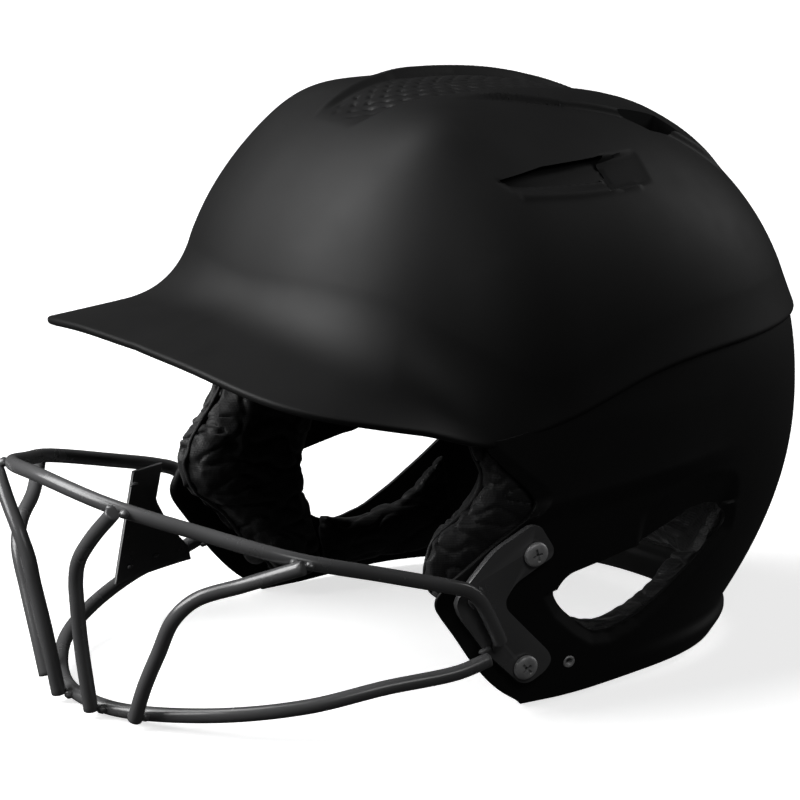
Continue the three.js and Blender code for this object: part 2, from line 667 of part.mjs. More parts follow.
function earPad() {
  const columns = 8;
  const rows = 3;
  const point = (depth, i, j) => {
    const y = THREE.MathUtils.lerp(17, 90, j / columns);
    const [high, low] = [linearStations(EAR_PAD_TOP, y), linearStations(EAR_PAD_BOTTOM, y)];
    const z = THREE.MathUtils.lerp(high, low, i / rows);
    const phi = Math.atan2(flapAcross(y, z), CROWN_CENTRE_Y - y);
    return polar(phi, wallRadius(phi, z) - depth, z);
  };
  const make = (depth) => gridOf(rows, columns, (i, j) => point(depth, i, j));
  return slab(make(CHEEK_DEPTH), make(CHEEK_DEPTH + EAR_PAD_THICKNESS), false);
}
// Distance of the wall from the middle plane at a side-view point behind the ear line.
function flapAcross(y, z) {
  let low = radians(60);
  let high = radians(175);
  for (let n = 0; n < 40; n += 1) {
    const phi = (low + high) / 2;
    if (CROWN_CENTRE_Y - wallRadius(phi, z) * Math.cos(phi) < y) low = phi;
    else high = phi;
  }
  return wallRadius(low, z) * Math.sin(low);
}
const ear = toGeometry(toSolid(earPad()).subtract(insertPocket));
addPart('ear_pad_left', ear, fabricBlack);
addPart('ear_pad_right', mirrored(ear), fabricBlack);

// ---------------------------------------------------------------- mask
// A round wire along a smooth curve through its points.
function wire(points, steps) {
  const curve = new THREE.CatmullRomCurve3(points, false, 'centripetal');
  const section = new THREE.Shape();
  for (let i = 0; i < WIRE_SIDES; i += 1) {
    const angle = (2 * Math.PI * i) / WIRE_SIDES;
    const corner = [WIRE_RADIUS * Math.cos(angle), WIRE_RADIUS * Math.sin(angle)];
    if (i === 0) section.moveTo(...corner);
    else section.lineTo(...corner);
  }
  section.closePath();
  return new THREE.ExtrudeGeometry(section, { steps, extrudePath: curve, bevelEnabled: false });
}
const vector = ([x, y, z]) => new THREE.Vector3(x, y, z);
const acrossMiddle = (half) => [...half.slice(1).reverse().map(([x, y, z]) => [-x, y, z]), ...half];
const RAIL_HEIGHT_OFF_PLATE = WIRE_RADIUS + GAP + 0.05;
const plateStations = (stations) => stations.map((place) => onPlate(place, RAIL_HEIGHT_OFF_PLATE).toArray());

const upperRail = [...UPPER_RAIL, ...plateStations(UPPER_RAIL_ON_PLATE)];
const lowerRail = [...LOWER_RAIL, ...plateStations(LOWER_RAIL_ON_PLATE)];
addPart('mask_upper_rail', wire(acrossMiddle(upperRail).map(vector), 46), maskBlack);
addPart('mask_lower_rail', wire(acrossMiddle(lowerRail).map(vector), 38), maskBlack);
for (const [name, points, steps] of [['inner', INNER_BAR, 10], ['outer', OUTER_BAR, 12]]) {
  const left = wire(points.map(vector), steps);
  addPart(`mask_${name}_bar_left`, left, maskBlack);
  addPart(`mask_${name}_bar_right`, mirrored(left), maskBlack);
}

// Flat plate, hollowed on its back so that it follows the flap with a small gap.
function grownWall() {
  const outer = [];
  const inner = [];
  for (const z of [90, 80, 70, 60, 50, 40, 30, 20, 10, 0]) {
    const row = (offset) => Array.from({ length: 13 }, (_, j) => {
      const phi = radians(38 + (62 * j) / 12);
      return polar(phi, wallRadius(phi, z) + offset, z);
    });
    outer.push(row(GAP));
    inner.push(row(-25));
  }
  return slab(outer, inner, false);
}
function mountPlate() {
  const slabBody = sidePrism(MOUNT_PLATE, 0, 1);
  // Each corner moves along X onto the plate's outer or inner plane.
  const p = slabBody.attributes.position;
  for (let i = 0; i < p.count; i += 1) {
    const isOuter = p.getX(i) > 0.5;
    const x = plateX(p.getY(i), p.getZ(i)) - (isOuter ? 0 : PLATE_THICKNESS);
    p.setX(i, x);
  }
  let plate = toSolid(slabBody).subtract(toSolid(grownWall()));
  for (const place of [UPPER_SCREW, LOWER_SCREW]) plate = plate.subtract(toSolid(throughPlate(place)));
  return toGeometry(plate);
}
const plateGeometry = mountPlate();
addPart('mask_plate_left', plateGeometry, maskBlack);
addPart('mask_plate_right', mirrored(plateGeometry), maskBlack);

// Blank tag plate, bent to lie just inside the two rails.
function tagPlate() {
  const top = new THREE.CatmullRomCurve3(upperRail.map(vector), false, 'centripetal').getPoints(200);
  const bottom = new THREE.CatmullRomCurve3(lowerRail.map(vector), false, 'centripetal').getPoints(200);
  const nearest = (points, y) => points.reduce((best, q) => (
    Math.abs(q.y - y) < Math.abs(best.y - y) ? q : best
  ));
  const at = (y, z, offset) => {
    const a = nearest(top, y);
    const b = nearest(bottom, y);
    const x = THREE.MathUtils.lerp(b.x, a.x, (z - b.z) / (a.z - b.z));
    return new THREE.Vector3(-(x - WIRE_RADIUS - 2 * GAP - offset), y, z);
  };
  const rows = 5;
  const columns = 4;
  const [low, high] = [TAG_PLATE_FRONT[0][0], TAG_PLATE_FRONT[1][0]];
  const grid = (offset) => gridOf(rows, columns, (i, j) => {
    const z = THREE.MathUtils.lerp(high, low, i / rows);
    const [front, back] = [linearStations(TAG_PLATE_FRONT, z), linearStations(TAG_PLATE_BACK, z)];
    return at(THREE.MathUtils.lerp(front, back, j / columns), z, offset);
  });
  return slab(grid(0), grid(TAG_PLATE_THICKNESS), false);
}
addPart('mask_tag_plate', tagPlate(), maskBlack);

// ---------------------------------------------------------------- fasteners
for (const [level, place] of [['upper', UPPER_SCREW], ['lower', LOWER_SCREW]]) {
  const screw = toGeometry(screwSolid(place));
  addPart(`screw_${level}_left`, screw, steel);
  addPart(`screw_${level}_right`, mirrored(screw), steel);
  const nut = turned(nutProfile, place, 0);
  addPart(`t_nut_${level}_left`, nut, steel);
  addPart(`t_nut_${level}_right`, mirrored(nut), steel);
}
const insertTop = INSERT_PROUD - (plateX(...JAW_INSERT) - flapX(...JAW_INSERT)) * PLATE_FACE.normal.x;
const insert = turned([
  [INSERT_BORE_RADIUS, insertTop - INSERT_LENGTH], [INSERT_RADIUS, insertTop - INSERT_LENGTH],
  [INSERT_RADIUS, insertTop], [INSERT_BORE_RADIUS, insertTop], [INSERT_BORE_RADIUS, insertTop - INSERT_LENGTH],
], JAW_INSERT, 0, 12);
addPart('jaw_insert_left', insert, steel);
addPart('jaw_insert_right', mirrored(insert), steel);

export default part;
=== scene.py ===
"""Looks of a batting helmet with a bolted wire face mask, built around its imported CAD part.

Shapes are worked out in millimetres in the part's own frame (+Z up, bill towards -Y, +X to the
wearer's left) and stored in metres.
"""

import math

import bmesh
import bpy
import numpy as np
from mathutils import Matrix, Vector, noise


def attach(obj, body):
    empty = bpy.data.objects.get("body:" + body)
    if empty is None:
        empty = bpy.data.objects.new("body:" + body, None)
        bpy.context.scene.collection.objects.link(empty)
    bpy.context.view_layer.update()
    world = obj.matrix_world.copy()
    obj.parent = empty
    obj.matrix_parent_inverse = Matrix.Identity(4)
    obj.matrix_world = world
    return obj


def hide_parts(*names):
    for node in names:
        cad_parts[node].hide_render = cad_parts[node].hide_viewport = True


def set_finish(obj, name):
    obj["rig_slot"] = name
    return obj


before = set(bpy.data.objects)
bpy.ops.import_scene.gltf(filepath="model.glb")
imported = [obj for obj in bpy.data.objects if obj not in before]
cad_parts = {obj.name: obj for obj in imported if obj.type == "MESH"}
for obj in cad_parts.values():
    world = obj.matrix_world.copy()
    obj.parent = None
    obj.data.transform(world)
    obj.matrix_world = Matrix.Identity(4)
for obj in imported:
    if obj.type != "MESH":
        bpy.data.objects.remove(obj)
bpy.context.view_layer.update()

MM = 0.001
BODY = "helmet"

# ---------------------------------------------------------------- shell dimensions, as in the part
CROWN_CENTRE_Y = 18
EQUATOR_Z = 99
CROWN_HALF_WIDTH = 109
CROWN_FRONT = 98.5
CROWN_BACK = 153
CROWN_HEIGHT = 131
PLAN_POWER = 2.46
RISE_POWER_FRONT = 2.36
RISE_POWER_BACK = 2.2
SHELL_THICKNESS = 3.2

WALL_FRONT = 150
WALL_STEP = 1.2
WALL_THICKNESS = 3
WALL_TOP_COVER = [(76, 2), (96, 14)]   # (azimuth in degrees, height behind the lip)
SIDE_TAPER = 0.12
NAPE_TAPER = 0.32

BILL_HALF_WIDTH = 106
BILL_ROOT_Y = -34
BILL_LENGTH = 90
BILL_POWER = 4
BILL_END_DEG = 62
TEMPLE_DEG = 80
LIP_FLARE = 1.2

RIM_HEIGHT = [
    (0, 141.5), (20, 139.5), (39, 130.5), (52, 121), (66, 109.5), (82, 115.5), (105, 128), (125, 132),
    (180, 132),
]
BROW_HEIGHT = [
    (0, 149.5), (26, 147), (45, 141), (60, 128), (72, 121), (82, 125), (105, 138), (125, 142), (180, 142),
]
FILLET_HEIGHT = [(0, 14), (45, 22), (66, 20), (82, 8), (180, 8)]
HEM_HEIGHT = [(50, 0), (85, 0), (112, 2.5), (135, 3), (155, 4), (180, 5)]
FLAP_EDGE = [
    (0, -6), (5, -15), (11, -22.5), (21, -32), (32.5, -41), (41, -48.5), (45, -51), (51, -47.5), (58, -41),
    (70, -29), (81, -8.5), (90, -15), (100, -25), (109, -34), (140, -36),
]
EAR_HOLE = [
    (1.5, 46), (6.5, 38.5), (16.8, 29.8), (24.5, 24.8), (32.5, 24), (46, 27.5), (60.5, 35.2),
    (75.5, 45), (91, 56.5), (92, 61), (86, 67.5), (78, 69), (70, 68.5), (45.5, 60), (7, 52.6),
]
SIDE_VENT = [(-4, 203.4), (17, 206), (49.5, 206.3), (44.7, 202.6), (46.5, 198), (22, 199), (0, 200.6)]
CROWN_SLITS = [
    [(33, 22), (38, 31), (42, 48), (37, 40)],
    [(44, 73), (50, 86), (46, 104), (39, 96)],
]

# ---------------------------------------------------------------- surface relief of the crown
# EDGE and HEIGHTS are where a fade begins and ends, in millimetres. ENDS holds two such fades.
CHANNEL_HALF_WIDTH = [(-40, 12), (-12, 19), (15, 27), (45, 29), (80, 27), (120, 20)]   # (y, half width)
CHANNEL_DEPTH = 2.4
CHANNEL_EDGE = (-3, 0.5)      # across, from the channel's half width
CHANNEL_ENDS = ((-34, -18), (96, 116))          # y
CHANNEL_HEIGHTS = (186, 200)  # z
DIMPLE_PITCH = 8
DIMPLE_DEPTH = 0.9
DIMPLE_SIZE = (2.2, 1.3)
DIMPLE_EDGE = (-7, -4)        # across, from the channel's half width
STEP_HALF_WIDTH = [(-10, 26), (22, 34), (48, 42), (73, 44.5), (104, 48), (130, 50)]    # (y, half width)
STEP_HEIGHT = 2.2
STEP_EDGE = (-1.6, 0.6)
STEP_ENDS = ((2, 24), (112, 132))               # y
STEP_HEIGHTS = (180, 196)     # z
SHOULDER_HEIGHT = 3.6         # the panels beside the channel stand out at their front
SHOULDER_CENTRE = (46, -13)   # (x, y)
SHOULDER_REACH = (17, 22)
SHOULDER_HEIGHTS = (170, 200)
VENT_SIDE_X = 50              # the side vents' relief lies outside this x
VENT_FACET_DEPTH = 2.6        # sunk facet behind the vent
VENT_FACET_START = 45         # y
VENT_FACET_LENGTH = 22
VENT_FACET_Z = 200.5
VENT_FACET_EDGE = (4.6, 5.8)  # z, from the facet's middle
VENT_LEDGE = [(3, 197.4), (30, 195.6), (59, 195)]                               # (y, z)
VENT_LEDGE_HEIGHT = 0.7
VENT_LEDGE_WIDTH = 1.3
VENT_LIP_DEPTH = 0.8
VENT_LIP_WIDTH = 1.8
VENT_LIP_TOP = 203

# ---------------------------------------------------------------- surface relief of the wall
RIDGE_LINE = [(-30, 84), (-14, 83.5), (-5, 83.5), (20, 86), (50, 89), (77, 91), (120, 92)]   # (y, z)
RIDGE_HEIGHT = 2.6            # the wall's side ridge above the ear hole
RIDGE_RISE = 30 / 2.2         # above the line it dies away over this height
RIDGE_FALL = 9
RIDGE_REAR = (55, 100)        # y, fading out between these
RIDGE_TOP = (112, 124)        # z, fading out between these
EAR_MIDDLE = [(1.5, 46), (92, 66)]   # (y, z): the ear hole's lower edge lies below this line
EAR_LOWER_REACH = (-4, 96)    # y
EAR_UPPER_ENDS = ((40, 46), (92, 98))           # y
EAR_CHAMFER_WIDTH = 5
EAR_CHAMFER_DEPTH = 2.6
EAR_POCKET_WIDTH = 13
EAR_POCKET_DEPTH = 3.2
HEM_BAND_HEIGHT = 6
HEM_LEDGE_HEIGHT = 7
HEM_LEDGE_DEPTH = 5
HEM_LEDGE_AZIMUTH = (96, 142)     # degrees, fading in between these
TEMPLE_CHAMFER_WIDTH = 7
TEMPLE_CHAMFER_DEPTH = 3
TEMPLE_HEIGHTS = (80, 108, 114)                 # z: from here, fading between these two
INNER_RELIEF = (0.4, 0.8)     # share of the outer face's hollows and rises that its back follows

# ---------------------------------------------------------------- mask and fasteners, as in the part
GAP = 0.3
WIRE_RADIUS = 2.9
PLATE_THICKNESS = 2.4
PLATE_CLEARANCE = 1.1
PLATE_REST = [(-10, 64), (-10, 16), (-42, 46)]   # (y, z): the plate's face stands off the flap here
UPPER_SCREW = (-11.8, 65.3)
LOWER_SCREW = (-11, 18)
JAW_INSERT = (12, 14)
SCREW_HEAD_RADIUS = 5
SCREW_HEAD_HEIGHT = 2.4
SCREW_SHANK_RADIUS = 2.3
SCREW_LENGTH = 14
HOLE_RADIUS = 2.8
NUT_FLANGE_RADIUS = 7.5
NUT_FLANGE_THICKNESS = 1.4
NUT_BARREL_RADIUS = 3.8
NUT_BARREL_LENGTH = 6
INSERT_RADIUS = 2.5
INSERT_BORE_RADIUS = 1.5
INSERT_LENGTH = 5
INSERT_PROUD = 0.4

UPPER_RAIL = [(0, -166, 95.7), (37, -157, 90.9), (63.6, -135.5, 83.3), (90, -109, 74.7), (99.5, -75, 65.3)]
UPPER_RAIL_ON_PLATE = [(-49, 58.4), (-40.5, 55.2), (-35.5, 50.5), (-30.8, 43), (-26.6, 35.5), (-24.8, 32)]
LOWER_RAIL = [(0, -147, 2.95), (23, -143.3, 3.6), (58, -123, 7.6), (79.7, -97.3, 12.2), (92, -70, 18)]
LOWER_RAIL_ON_PLATE = [(-42, 21.8), (-29, 25.2)]
INNER_BAR = [
    (44.5, -160.6, 90.2), (32, -162.4, 78), (22, -162.6, 66.5), (17.8, -161.5, 57.5),
    (16.4, -160.3, 48), (13.8, -157.3, 30), (12.2, -152.6, 3),
]
OUTER_BAR = [
    (97.3, -110.4, 73.6), (78.1, -124.6, 64.5), (65.6, -137.5, 58), (58.6, -143.1, 49.5),
    (49.6, -144.6, 34), (40.4, -145.6, 18), (33.6, -145.9, 3.6),
]
MOUNT_PLATE = [
    (-14.5, 77.2), (-10.5, 76.5), (-3.6, 66.5), (-3.7, 62.8), (-19, 53.8), (-22.4, 47.5), (-21.5, 43.5),
    (-1, 23), (1, 18.8), (-1.5, 14.6), (-7.5, 10.8), (-12, 11), (-28, 26), (-41, 42.5),
    (-43.8, 48.5), (-42.5, 52.5), (-34, 63.3), (-29, 69),
]
TAG_PLATE_FRONT = [(18, -85), (60, -67)]
TAG_PLATE_BACK = [(18, -40), (24, -41), (34, -50), (46, -56), (60, -50)]
TAG_PLATE_THICKNESS = 1.8


# ---------------------------------------------------------------- curves through stations
def along(stations, x):
    """Smooth interpolation through (x, y) stations that never overshoots."""
    xs, ys = np.array(stations, float).T
    x = np.clip(x, xs[0], xs[-1])
    i = np.clip(np.searchsorted(xs, x, side="right") - 1, 0, len(xs) - 2)
    order = np.arange(len(xs))
    before = np.maximum(order - 1, 0)
    after = np.minimum(order + 1, len(xs) - 1)
    slopes = (ys[after] - ys[before]) / (xs[after] - xs[before])
    h = xs[i + 1] - xs[i]
    step = ys[i + 1] - ys[i]
    rise = step / h

    def limited(slope):
        return np.where(slope * rise <= 0, 0, np.sign(slope) * np.minimum(abs(slope), 3 * abs(rise)))

    m0 = limited(slopes[i])
    m1 = limited(slopes[i + 1])
    t = (x - xs[i]) / h
    c = 3 * step - h * (2 * m0 + m1)
    d = h * (m0 + m1) - 2 * step
    return ys[i] + h * m0 * t + c * t**2 + d * t**3


def straight(stations, x):
    xs, ys = np.array(stations, float).T
    return np.interp(x, xs, ys)


def smoothstep(x, low, high):
    t = np.clip((x - low) / (high - low), 0, 1)
    return t * t * (3 - 2 * t)


def window(x, opening, closing):
    """1 between two fades and 0 outside them."""
    return smoothstep(x, *opening) * (1 - smoothstep(x, *closing))


def curve_through(points, per_span=14):
    """Centripetal Catmull-Rom curve through points, as the part's wires follow."""
    p = np.array(points, float)
    p = np.vstack([2 * p[0] - p[1], p, 2 * p[-1] - p[-2]])
    out = []
    for k in range(1, len(p) - 2):
        a, b, c, d = p[k - 1:k + 3]
        d0, d1, d2 = (max(np.linalg.norm(v - u) ** 0.5, 1e-4) for u, v in ((a, b), (b, c), (c, d)))
        t1 = ((b - a) / d0 - (c - a) / (d0 + d1) + (c - b) / d1) * d1
        t2 = ((c - b) / d1 - (d - b) / (d1 + d2) + (d - c) / d2) * d1
        t = np.linspace(0, 1, per_span, endpoint=False)[:, None]
        out.append(b + t1 * t + (3 * (c - b) - 2 * t1 - t2) * t**2 + (2 * (b - c) + t1 + t2) * t**3)
    out.append(p[-2][None])
    return np.vstack(out)


def distance_to_line(points, line, closed=False):
    """Distance from each 2-D point to a polyline."""
    line = np.array(line, float)
    ends = np.vstack([line, line[:1]]) if closed else line
    best = np.full(points.shape[:-1], 1e9)
    for a, b in zip(ends[:-1], ends[1:]):
        ab = b - a
        t = np.clip(((points - a) @ ab) / (ab @ ab), 0, 1)
        best = np.minimum(best, np.linalg.norm(points - a - t[..., None] * ab, axis=-1))
    return best


def rounded(outline, radius, steps=5):
    """An outline with its corners turned into arcs."""
    out = []
    count = len(outline)
    for k in range(count):
        a, b, c = (np.array(outline[(k + s) % count], float) for s in (-1, 0, 1))
        reach = min(radius, 0.45 * np.linalg.norm(a - b), 0.45 * np.linalg.norm(c - b))
        p = b + (a - b) / np.linalg.norm(a - b) * reach
        q = b + (c - b) / np.linalg.norm(c - b) * reach
        for t in np.linspace(0, 1, steps):
            out.append(tuple((1 - t) ** 2 * p + 2 * t * (1 - t) * b + t * t * q))
    return out


# ---------------------------------------------------------------- shell surfaces, as in the part
def polar(phi, r, z):
    """A point at azimuth phi from the front (positive to +X), radius r and height z."""
    return np.stack([r * np.sin(phi), CROWN_CENTRE_Y - r * np.cos(phi), z + 0 * r], -1)


def plan_radius(phi, front):
    across = abs(np.sin(phi)) / CROWN_HALF_WIDTH
    lengthways = abs(np.cos(phi)) / np.where(np.cos(phi) > 0, front, CROWN_BACK)
    return (across**PLAN_POWER + lengthways**PLAN_POWER) ** (-1 / PLAN_POWER)


def wall_taper(phi, z):
    drop = np.clip((EQUATOR_Z - z) / 98, 0, 1.05)
    side = 1 - SIDE_TAPER * drop**1.6
    nape = 1 - NAPE_TAPER * drop**2.2
    share = np.sin(phi) ** 2
    return np.where(np.cos(phi) > 0, side, side * share + nape * (1 - share))


def rise_power(phi):
    return RISE_POWER_BACK + (RISE_POWER_FRONT - RISE_POWER_BACK) * (1 + np.cos(phi)) / 2


def crown_narrowing(phi, z):
    rise = np.clip((z - EQUATOR_Z) / CROWN_HEIGHT, 0, 1)
    power = rise_power(phi)
    return (1 - rise**power) ** (1 / power)


def crown_radius(phi, z):
    return plan_radius(phi, CROWN_FRONT) * crown_narrowing(phi, z) * wall_taper(phi, z)


def wall_radius(phi, z):
    return plan_radius(phi, WALL_FRONT) * crown_narrowing(phi, z) * wall_taper(phi, z) - WALL_STEP


def hem_height(phi):
    return along(HEM_HEIGHT, abs(np.degrees(phi)))


def wall_top(degrees):
    """Height of the wall's upper edge, behind the crown's lip."""
    return along(RIM_HEIGHT, abs(degrees)) + along(WALL_TOP_COVER, abs(degrees))


def bill_radius(phi):
    """Distance from the crown's axis to the bill's outline in plan."""
    low = np.full(phi.shape, 60.0)
    high = np.full(phi.shape, 220.0)
    for _ in range(40):
        r = (low + high) / 2
        x = abs(r * np.sin(phi)) / BILL_HALF_WIDTH
        y = np.maximum(0, (BILL_ROOT_Y - (CROWN_CENTRE_Y - r * np.cos(phi))) / BILL_LENGTH)
        outside = x**BILL_POWER + y**BILL_POWER > 1
        high = np.where(outside, r, high)
        low = np.where(outside, low, r)
    return low


def azimuth_at_y(y, z, low=math.radians(30), high=math.radians(175)):
    """Azimuth at which the wall reaches a given y."""
    y, z = np.broadcast_arrays(np.asarray(y, float), np.asarray(z, float))
    low = np.full(y.shape, low)
    high = np.full(y.shape, high)
    for _ in range(40):
        phi = (low + high) / 2
        ahead = CROWN_CENTRE_Y - wall_radius(phi, z) * np.cos(phi) < y
        low = np.where(ahead, phi, low)
        high = np.where(ahead, high, phi)
    return low


def flap_x(y, z):
    phi = azimuth_at_y(y, z)
    return wall_radius(phi, z) * np.sin(phi)


def crown_profile(phi, crown_steps, fillet_steps, bill_steps):
    """Rows of (radius, height) from the crown's top to its rim, for an array of azimuths."""
    degrees = abs(np.degrees(phi))
    brow_z = along(BROW_HEIGHT, degrees)
    start_z = brow_z + along(FILLET_HEIGHT, degrees)
    power = rise_power(phi)
    start_angle = np.arcsin(((start_z - EQUATOR_Z) / CROWN_HEIGHT) ** (power / 2))
    rows = []
    for t in np.linspace(0, 1, crown_steps + 1):
        angle = math.pi / 2 + (start_angle - math.pi / 2) * t
        z = EQUATOR_Z + CROWN_HEIGHT * np.sin(angle) ** (2 / power)
        r = crown_radius(phi, z) if t > 0 else 0 * phi
        rows.append(np.stack([r, z], -1))
    start = rows[-1]
    knee = np.stack([crown_radius(phi, brow_z), brow_z], -1)
    rim_z = along(RIM_HEIGHT, degrees)
    lip = crown_radius(phi, rim_z) + LIP_FLARE
    fade = smoothstep(degrees, BILL_END_DEG, TEMPLE_DEG)
    rim = np.stack([bill_radius(phi) * (1 - fade) + lip * fade, rim_z], -1)
    span = np.linalg.norm(start - knee, axis=-1) / np.linalg.norm(rim - knee, axis=-1)
    end = knee + (rim - knee) * np.minimum(0.6, span)[:, None]
    for t in np.linspace(0, 1, fillet_steps + 1)[1:]:
        rows.append((1 - t) ** 2 * start + 2 * t * (1 - t) * knee + t * t * end)
    reach = np.linalg.norm(rim - end, axis=-1)[:, None]
    # The last rows crowd towards the rim, where the edge is rounded.
    shares = list(np.linspace(0, 1, bill_steps + 1)[1:-1])
    for t in shares:
        rows.append(end + (rim - end) * t * (1 - 2.2 / reach))
    for before_rim in (2.2, 1.4, 0.8, 0.4, 0.12, 0):
        rows.append(rim - (rim - end) * before_rim / reach)
    return np.array(rows)


# ---------------------------------------------------------------- meshes
def link(name, mesh, slot, body=BODY):
    piece = bpy.data.objects.new(name, mesh)
    bpy.context.scene.collection.objects.link(piece)
    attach(piece, body)
    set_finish(piece, slot)
    return piece


def mesh_from(name, points, faces):
    mesh = bpy.data.meshes.new(name)
    mesh.from_pydata((np.asarray(points, float) * MM).tolist(), [], [tuple(f) for f in faces])
    mesh.validate()
    bm = bmesh.new()
    bm.from_mesh(mesh)
    bmesh.ops.remove_doubles(bm, verts=bm.verts, dist=1e-6)
    bmesh.ops.dissolve_degenerate(bm, edges=bm.edges, dist=1e-7)
    loose = [edge for edge in bm.edges if not edge.link_faces]
    bmesh.ops.delete(bm, geom=loose, context="EDGES")
    bmesh.ops.recalc_face_normals(bm, faces=bm.faces)
    bm.to_mesh(mesh)
    bm.free()
    return mesh


def grid_faces(rows, columns, wraps, base=0, flip=False):
    spans = columns if wraps else columns - 1
    i, j = np.meshgrid(np.arange(rows - 1), np.arange(spans), indexing="ij")
    k = (j + 1) % columns
    quads = np.stack([i * columns + j, (i + 1) * columns + j, (i + 1) * columns + k, i * columns + k], -1)
    quads = quads.reshape(-1, 4) + base
    return quads[:, ::-1] if flip else quads


def sheet_mesh(name, outer, inner, wraps):
    """One closed body between two grids of points with the same number of columns."""
    columns = outer.shape[1]
    base = outer.shape[0] * columns
    points = np.vstack([outer.reshape(-1, 3), inner.reshape(-1, 3)])
    faces = [grid_faces(len(outer), columns, wraps), grid_faces(len(inner), columns, wraps, base, True)]
    spans = np.arange(columns if wraps else columns - 1)
    following = (spans + 1) % columns
    last_outer = (len(outer) - 1) * columns
    last_inner = base + (len(inner) - 1) * columns
    faces.append(np.stack([spans, following, base + following, base + spans], -1))
    faces.append(np.stack([
        last_outer + following, last_outer + spans, last_inner + spans, last_inner + following,
    ], -1))
    if not wraps:
        rows = np.arange(len(outer) - 1)
        for column, flip in ((0, False), (columns - 1, True)):
            a = rows * columns + column
            side = np.stack([a, base + a, base + a + columns, a + columns], -1)
            faces.append(side[:, ::-1] if flip else side)
    return mesh_from(name, points, np.vstack(faces))


def prism_mesh(name, outline, place):
    """A closed prism from a 2-D outline: place(u, v, side) gives the point on side 0 or 1."""
    count = len(outline)
    points = [place(u, v, side) for side in (0, 1) for u, v in outline]
    faces = [tuple(range(count)), tuple(range(2 * count - 1, count - 1, -1))]
    faces += [(k, (k + 1) % count, count + (k + 1) % count, count + k) for k in range(count)]
    return mesh_from(name, points, faces)


def lathe_mesh(name, profile, sides, direction, centre):
    """A turned body: a closed or open profile of (radius, height) about an axis through centre."""
    turn = Vector((0, 0, 1)).rotation_difference(Vector(direction)).to_matrix()
    angles = np.linspace(0, 2 * math.pi, sides, endpoint=False)
    rows = [[(r * math.cos(a), r * math.sin(a), h) for a in angles] for r, h in profile]
    points = np.array(rows).reshape(-1, 3) @ np.array(turn).T + np.array(centre)
    return mesh_from(name, points, grid_faces(len(profile), sides, True))


def evaluated(piece):
    """Applies a piece's modifiers to its own mesh."""
    graph = bpy.context.evaluated_depsgraph_get()
    mesh = bpy.data.meshes.new_from_object(piece.evaluated_get(graph))
    piece.modifiers.clear()
    piece.data = mesh
    return piece


def cut(piece, cutter_meshes, solver="EXACT"):
    """Cuts closed meshes out of a piece."""
    joined = bmesh.new()
    for mesh in cutter_meshes:
        joined.from_mesh(mesh)
    whole = bpy.data.meshes.new("cutters")
    joined.to_mesh(whole)
    joined.free()
    cutter = bpy.data.objects.new("cutters", whole)
    bpy.context.scene.collection.objects.link(cutter)
    boolean = piece.modifiers.new("cut", "BOOLEAN")
    boolean.operation = "DIFFERENCE"
    boolean.solver = solver
    boolean.object = cutter
    evaluated(piece)
    bpy.data.objects.remove(cutter)
    return piece


def shade(piece, degrees=35):
    """Smooth shading with sharp edges past an angle."""
    mesh = piece.data
    mesh.polygons.foreach_set("use_smooth", [True] * len(mesh.polygons))
    mesh.set_sharp_from_angle(angle=math.radians(degrees))
    return piece


def dress(piece, finish, degrees, node=None):
    """Gives a piece its material and shading, and hides the CAD part it stands for."""
    piece.data.materials.clear()
    piece.data.materials.append(finish)
    shade(piece, degrees)
    if node:
        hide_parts(node)
    return piece


def link_pair(name, ending, mesh, slot, finish, degrees):
    """A left piece and its mirror image, each standing for the CAD node of its side."""
    for side, shape in (("left", mesh), ("right", mirrored_mesh(mesh))):
        node = f"{name}_{side}"
        dress(link(f"{node}_{ending}", shape, slot), finish, degrees, node)


def bevel(piece, width, segments=2, degrees=40):
    modifier = piece.modifiers.new("bevel", "BEVEL")
    modifier.width = width * MM
    modifier.segments = segments
    modifier.limit_method = "ANGLE"
    modifier.angle_limit = math.radians(degrees)
    modifier.harden_normals = False
    return evaluated(piece)


def mirrored_mesh(mesh):
    copy = mesh.copy()
    copy.transform(Matrix.Diagonal((-1, 1, 1, 1)))
    copy.flip_normals()
    return copy


def edge_inset(distance, radius=1.3):
    """How far a sheet's face falls back near its edge, so that the edge is rounded."""
    near = np.clip(1 - distance / radius, 0, 1)
    return radius * (1 - np.sqrt(1 - near**2))


def grid_normals(grid, wraps):
    """Unit normals of a grid of points, away from the crown's axis."""
    down = np.gradient(grid, axis=0)
    if wraps:
        over = np.roll(grid, -1, axis=1) - np.roll(grid, 1, axis=1)
    else:
        over = np.gradient(grid, axis=1)
    normals = np.cross(down, over)
    normals /= np.maximum(np.linalg.norm(normals, axis=-1, keepdims=True), 1e-9)
    out = grid - np.array([0, CROWN_CENTRE_Y, EQUATOR_Z])
    flips = np.sign((normals * out).sum(-1))
    return normals * np.where(flips == 0, 1, flips)[..., None]


# ---------------------------------------------------------------- materials
EDGE_HIGHLIGHT_PALENESS = 2.2     # painted highlights on edges are this many times paler
EDGE_HIGHLIGHT_STRENGTH = 0.25        # and show this much of it


